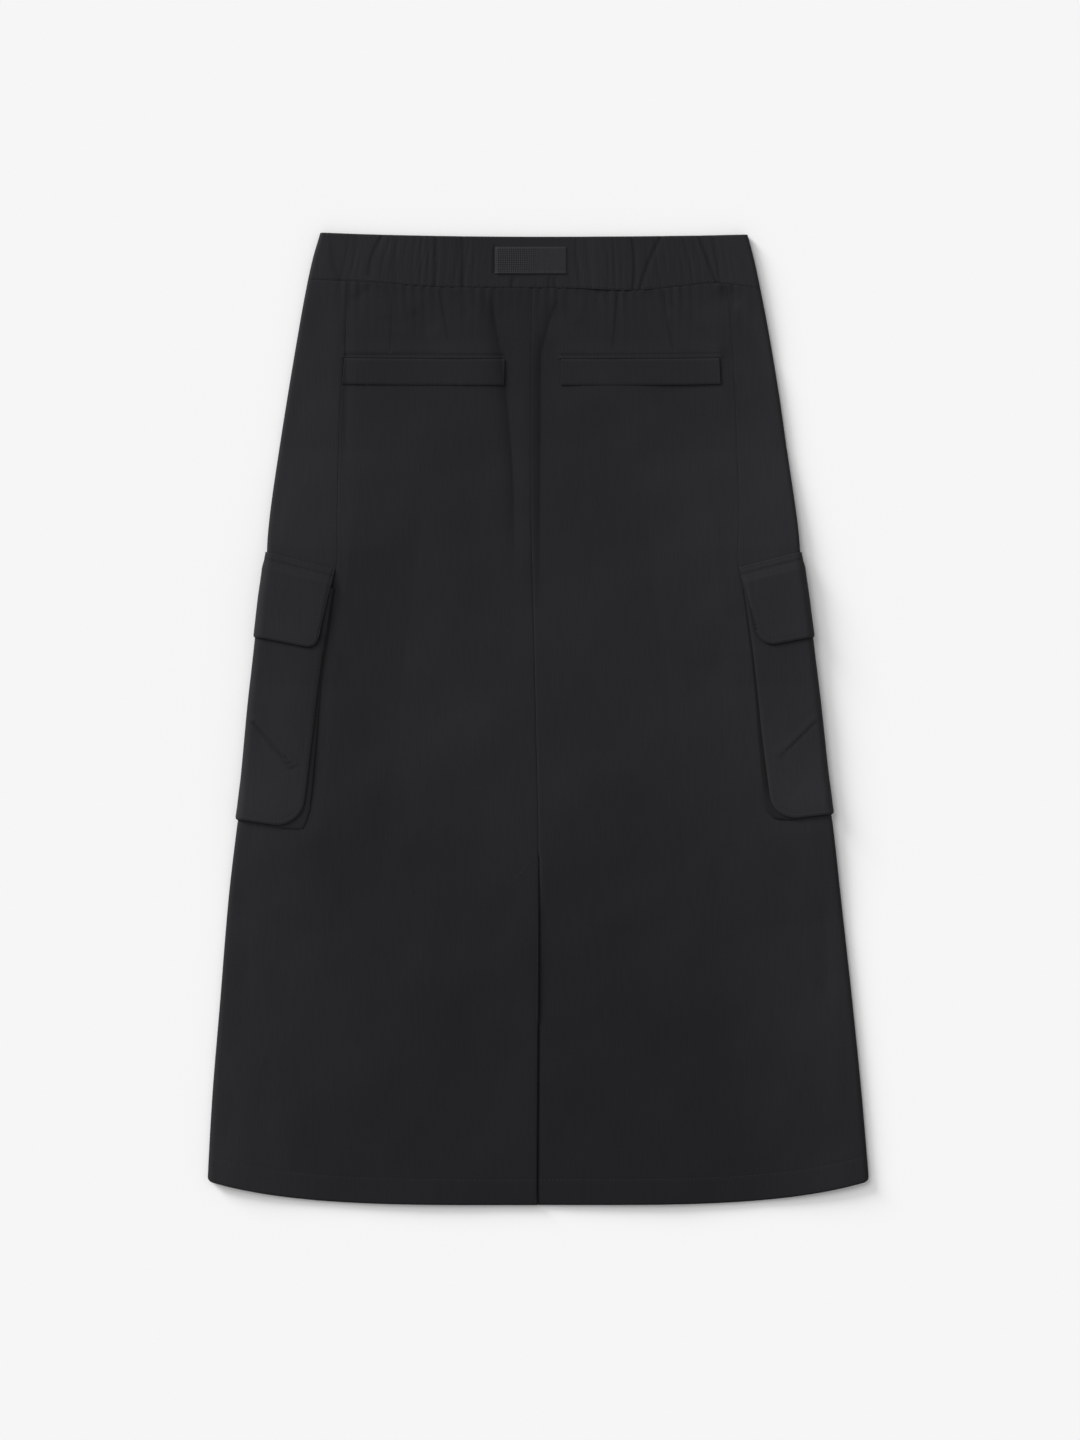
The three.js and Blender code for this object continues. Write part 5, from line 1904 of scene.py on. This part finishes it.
@dataclass
class Studio:
    """A pale floor, soft light from the upper left, and the camera straight above."""

    floor_colour: str = "f6f6f6"
    floor_size: float = 12.0
    camera_height: float = 3.2
    camera_x: float = 0.0015
    camera_y: float = -0.0009
    frame_height: float = 1.2528
    sensor: float = 36.0
    sky: float = 0.47
    azimuth: float = 135
    low: float = 3.22
    low_elevation: float = 17
    low_softness: float = 20
    high: float = 1.02
    high_elevation: float = 45
    high_softness: float = 40

    def floor(self) -> None:
        """Lays the floor."""
        net = bmesh.new()
        bmesh.ops.create_grid(net, x_segments=1, y_segments=1, size=self.floor_size / 2)
        bmesh.ops.translate(net, verts=net.verts, vec=(0, 0, -0.0004))
        mesh = bpy.data.meshes.new("floor")
        net.to_mesh(mesh)
        net.free()
        floor = bpy.data.objects.new("floor", mesh)
        bpy.context.scene.collection.objects.link(floor)
        material, _, shader = new_material("white_paper_matt", 1.0, 0.0)
        shader.inputs["Base Color"].default_value = linear(self.floor_colour)
        mesh.materials.append(material)

    def sun(self, name: str, strength: float, elevation: float, soft: float) -> None:
        """Adds a broad far light on the upper left.

        Args:
            name: the light's name.
            strength: its strength.
            elevation: how high it stands, in degrees.
            soft: how wide it looks, in degrees.
        """
        light = bpy.data.lights.new(name, "SUN")
        light.energy = strength
        light.angle = math.radians(soft)
        lamp = bpy.data.objects.new(name, light)
        a, e = math.radians(self.azimuth), math.radians(elevation)
        towards = Vector((math.cos(a) * math.cos(e), math.sin(a) * math.cos(e), math.sin(e)))
        lamp.rotation_euler = towards.to_track_quat("Z", "Y").to_euler()
        bpy.context.scene.collection.objects.link(lamp)

    def lights(self) -> None:
        """Adds the room's even light, a low light that gives the shadow, and a higher one."""
        world = bpy.data.worlds.new("soft_white_room")
        world.use_nodes = True
        sky = world.node_tree.nodes["Background"]
        sky.inputs["Color"].default_value = (1, 1, 1, 1)
        sky.inputs["Strength"].default_value = self.sky
        bpy.context.scene.world = world
        self.sun("low", self.low, self.low_elevation, self.low_softness)
        self.sun("high", self.high, self.high_elevation, self.high_softness)

    def camera(self) -> None:
        """Adds the camera, straight above the skirt."""
        data = bpy.data.cameras.new("camera")
        data.sensor_width = self.sensor
        data.lens = self.sensor * self.camera_height / self.frame_height
        camera = bpy.data.objects.new("camera", data)
        camera.location = (self.camera_x, self.camera_y, self.camera_height)
        bpy.context.scene.collection.objects.link(camera)
        bpy.context.scene.camera = camera

    def build(self) -> None:
        """Sets up the studio."""
        bpy.context.scene.view_settings.view_transform = "Standard"
        self.camera()
        self.floor()
        self.lights()


def main() -> None:
    """Builds the skirt's pieces in order, from the panels to the stitches."""
    logging.basicConfig(level=logging.INFO)
    Studio().build()
    twill = Twill().material()
    webbing = Webbing().material()
    Panels(twill).build()
    Waistband(twill, webbing).build()
    sewing = Sewing(Thread().material())
    for side in Side:
        pocket = CargoPocket(side, twill)
        pocket.build()
        sewing.pocket(pocket)
    sewing.panels()
    bpy.context.view_layer.update()


if __name__ == "__main__":
    main()
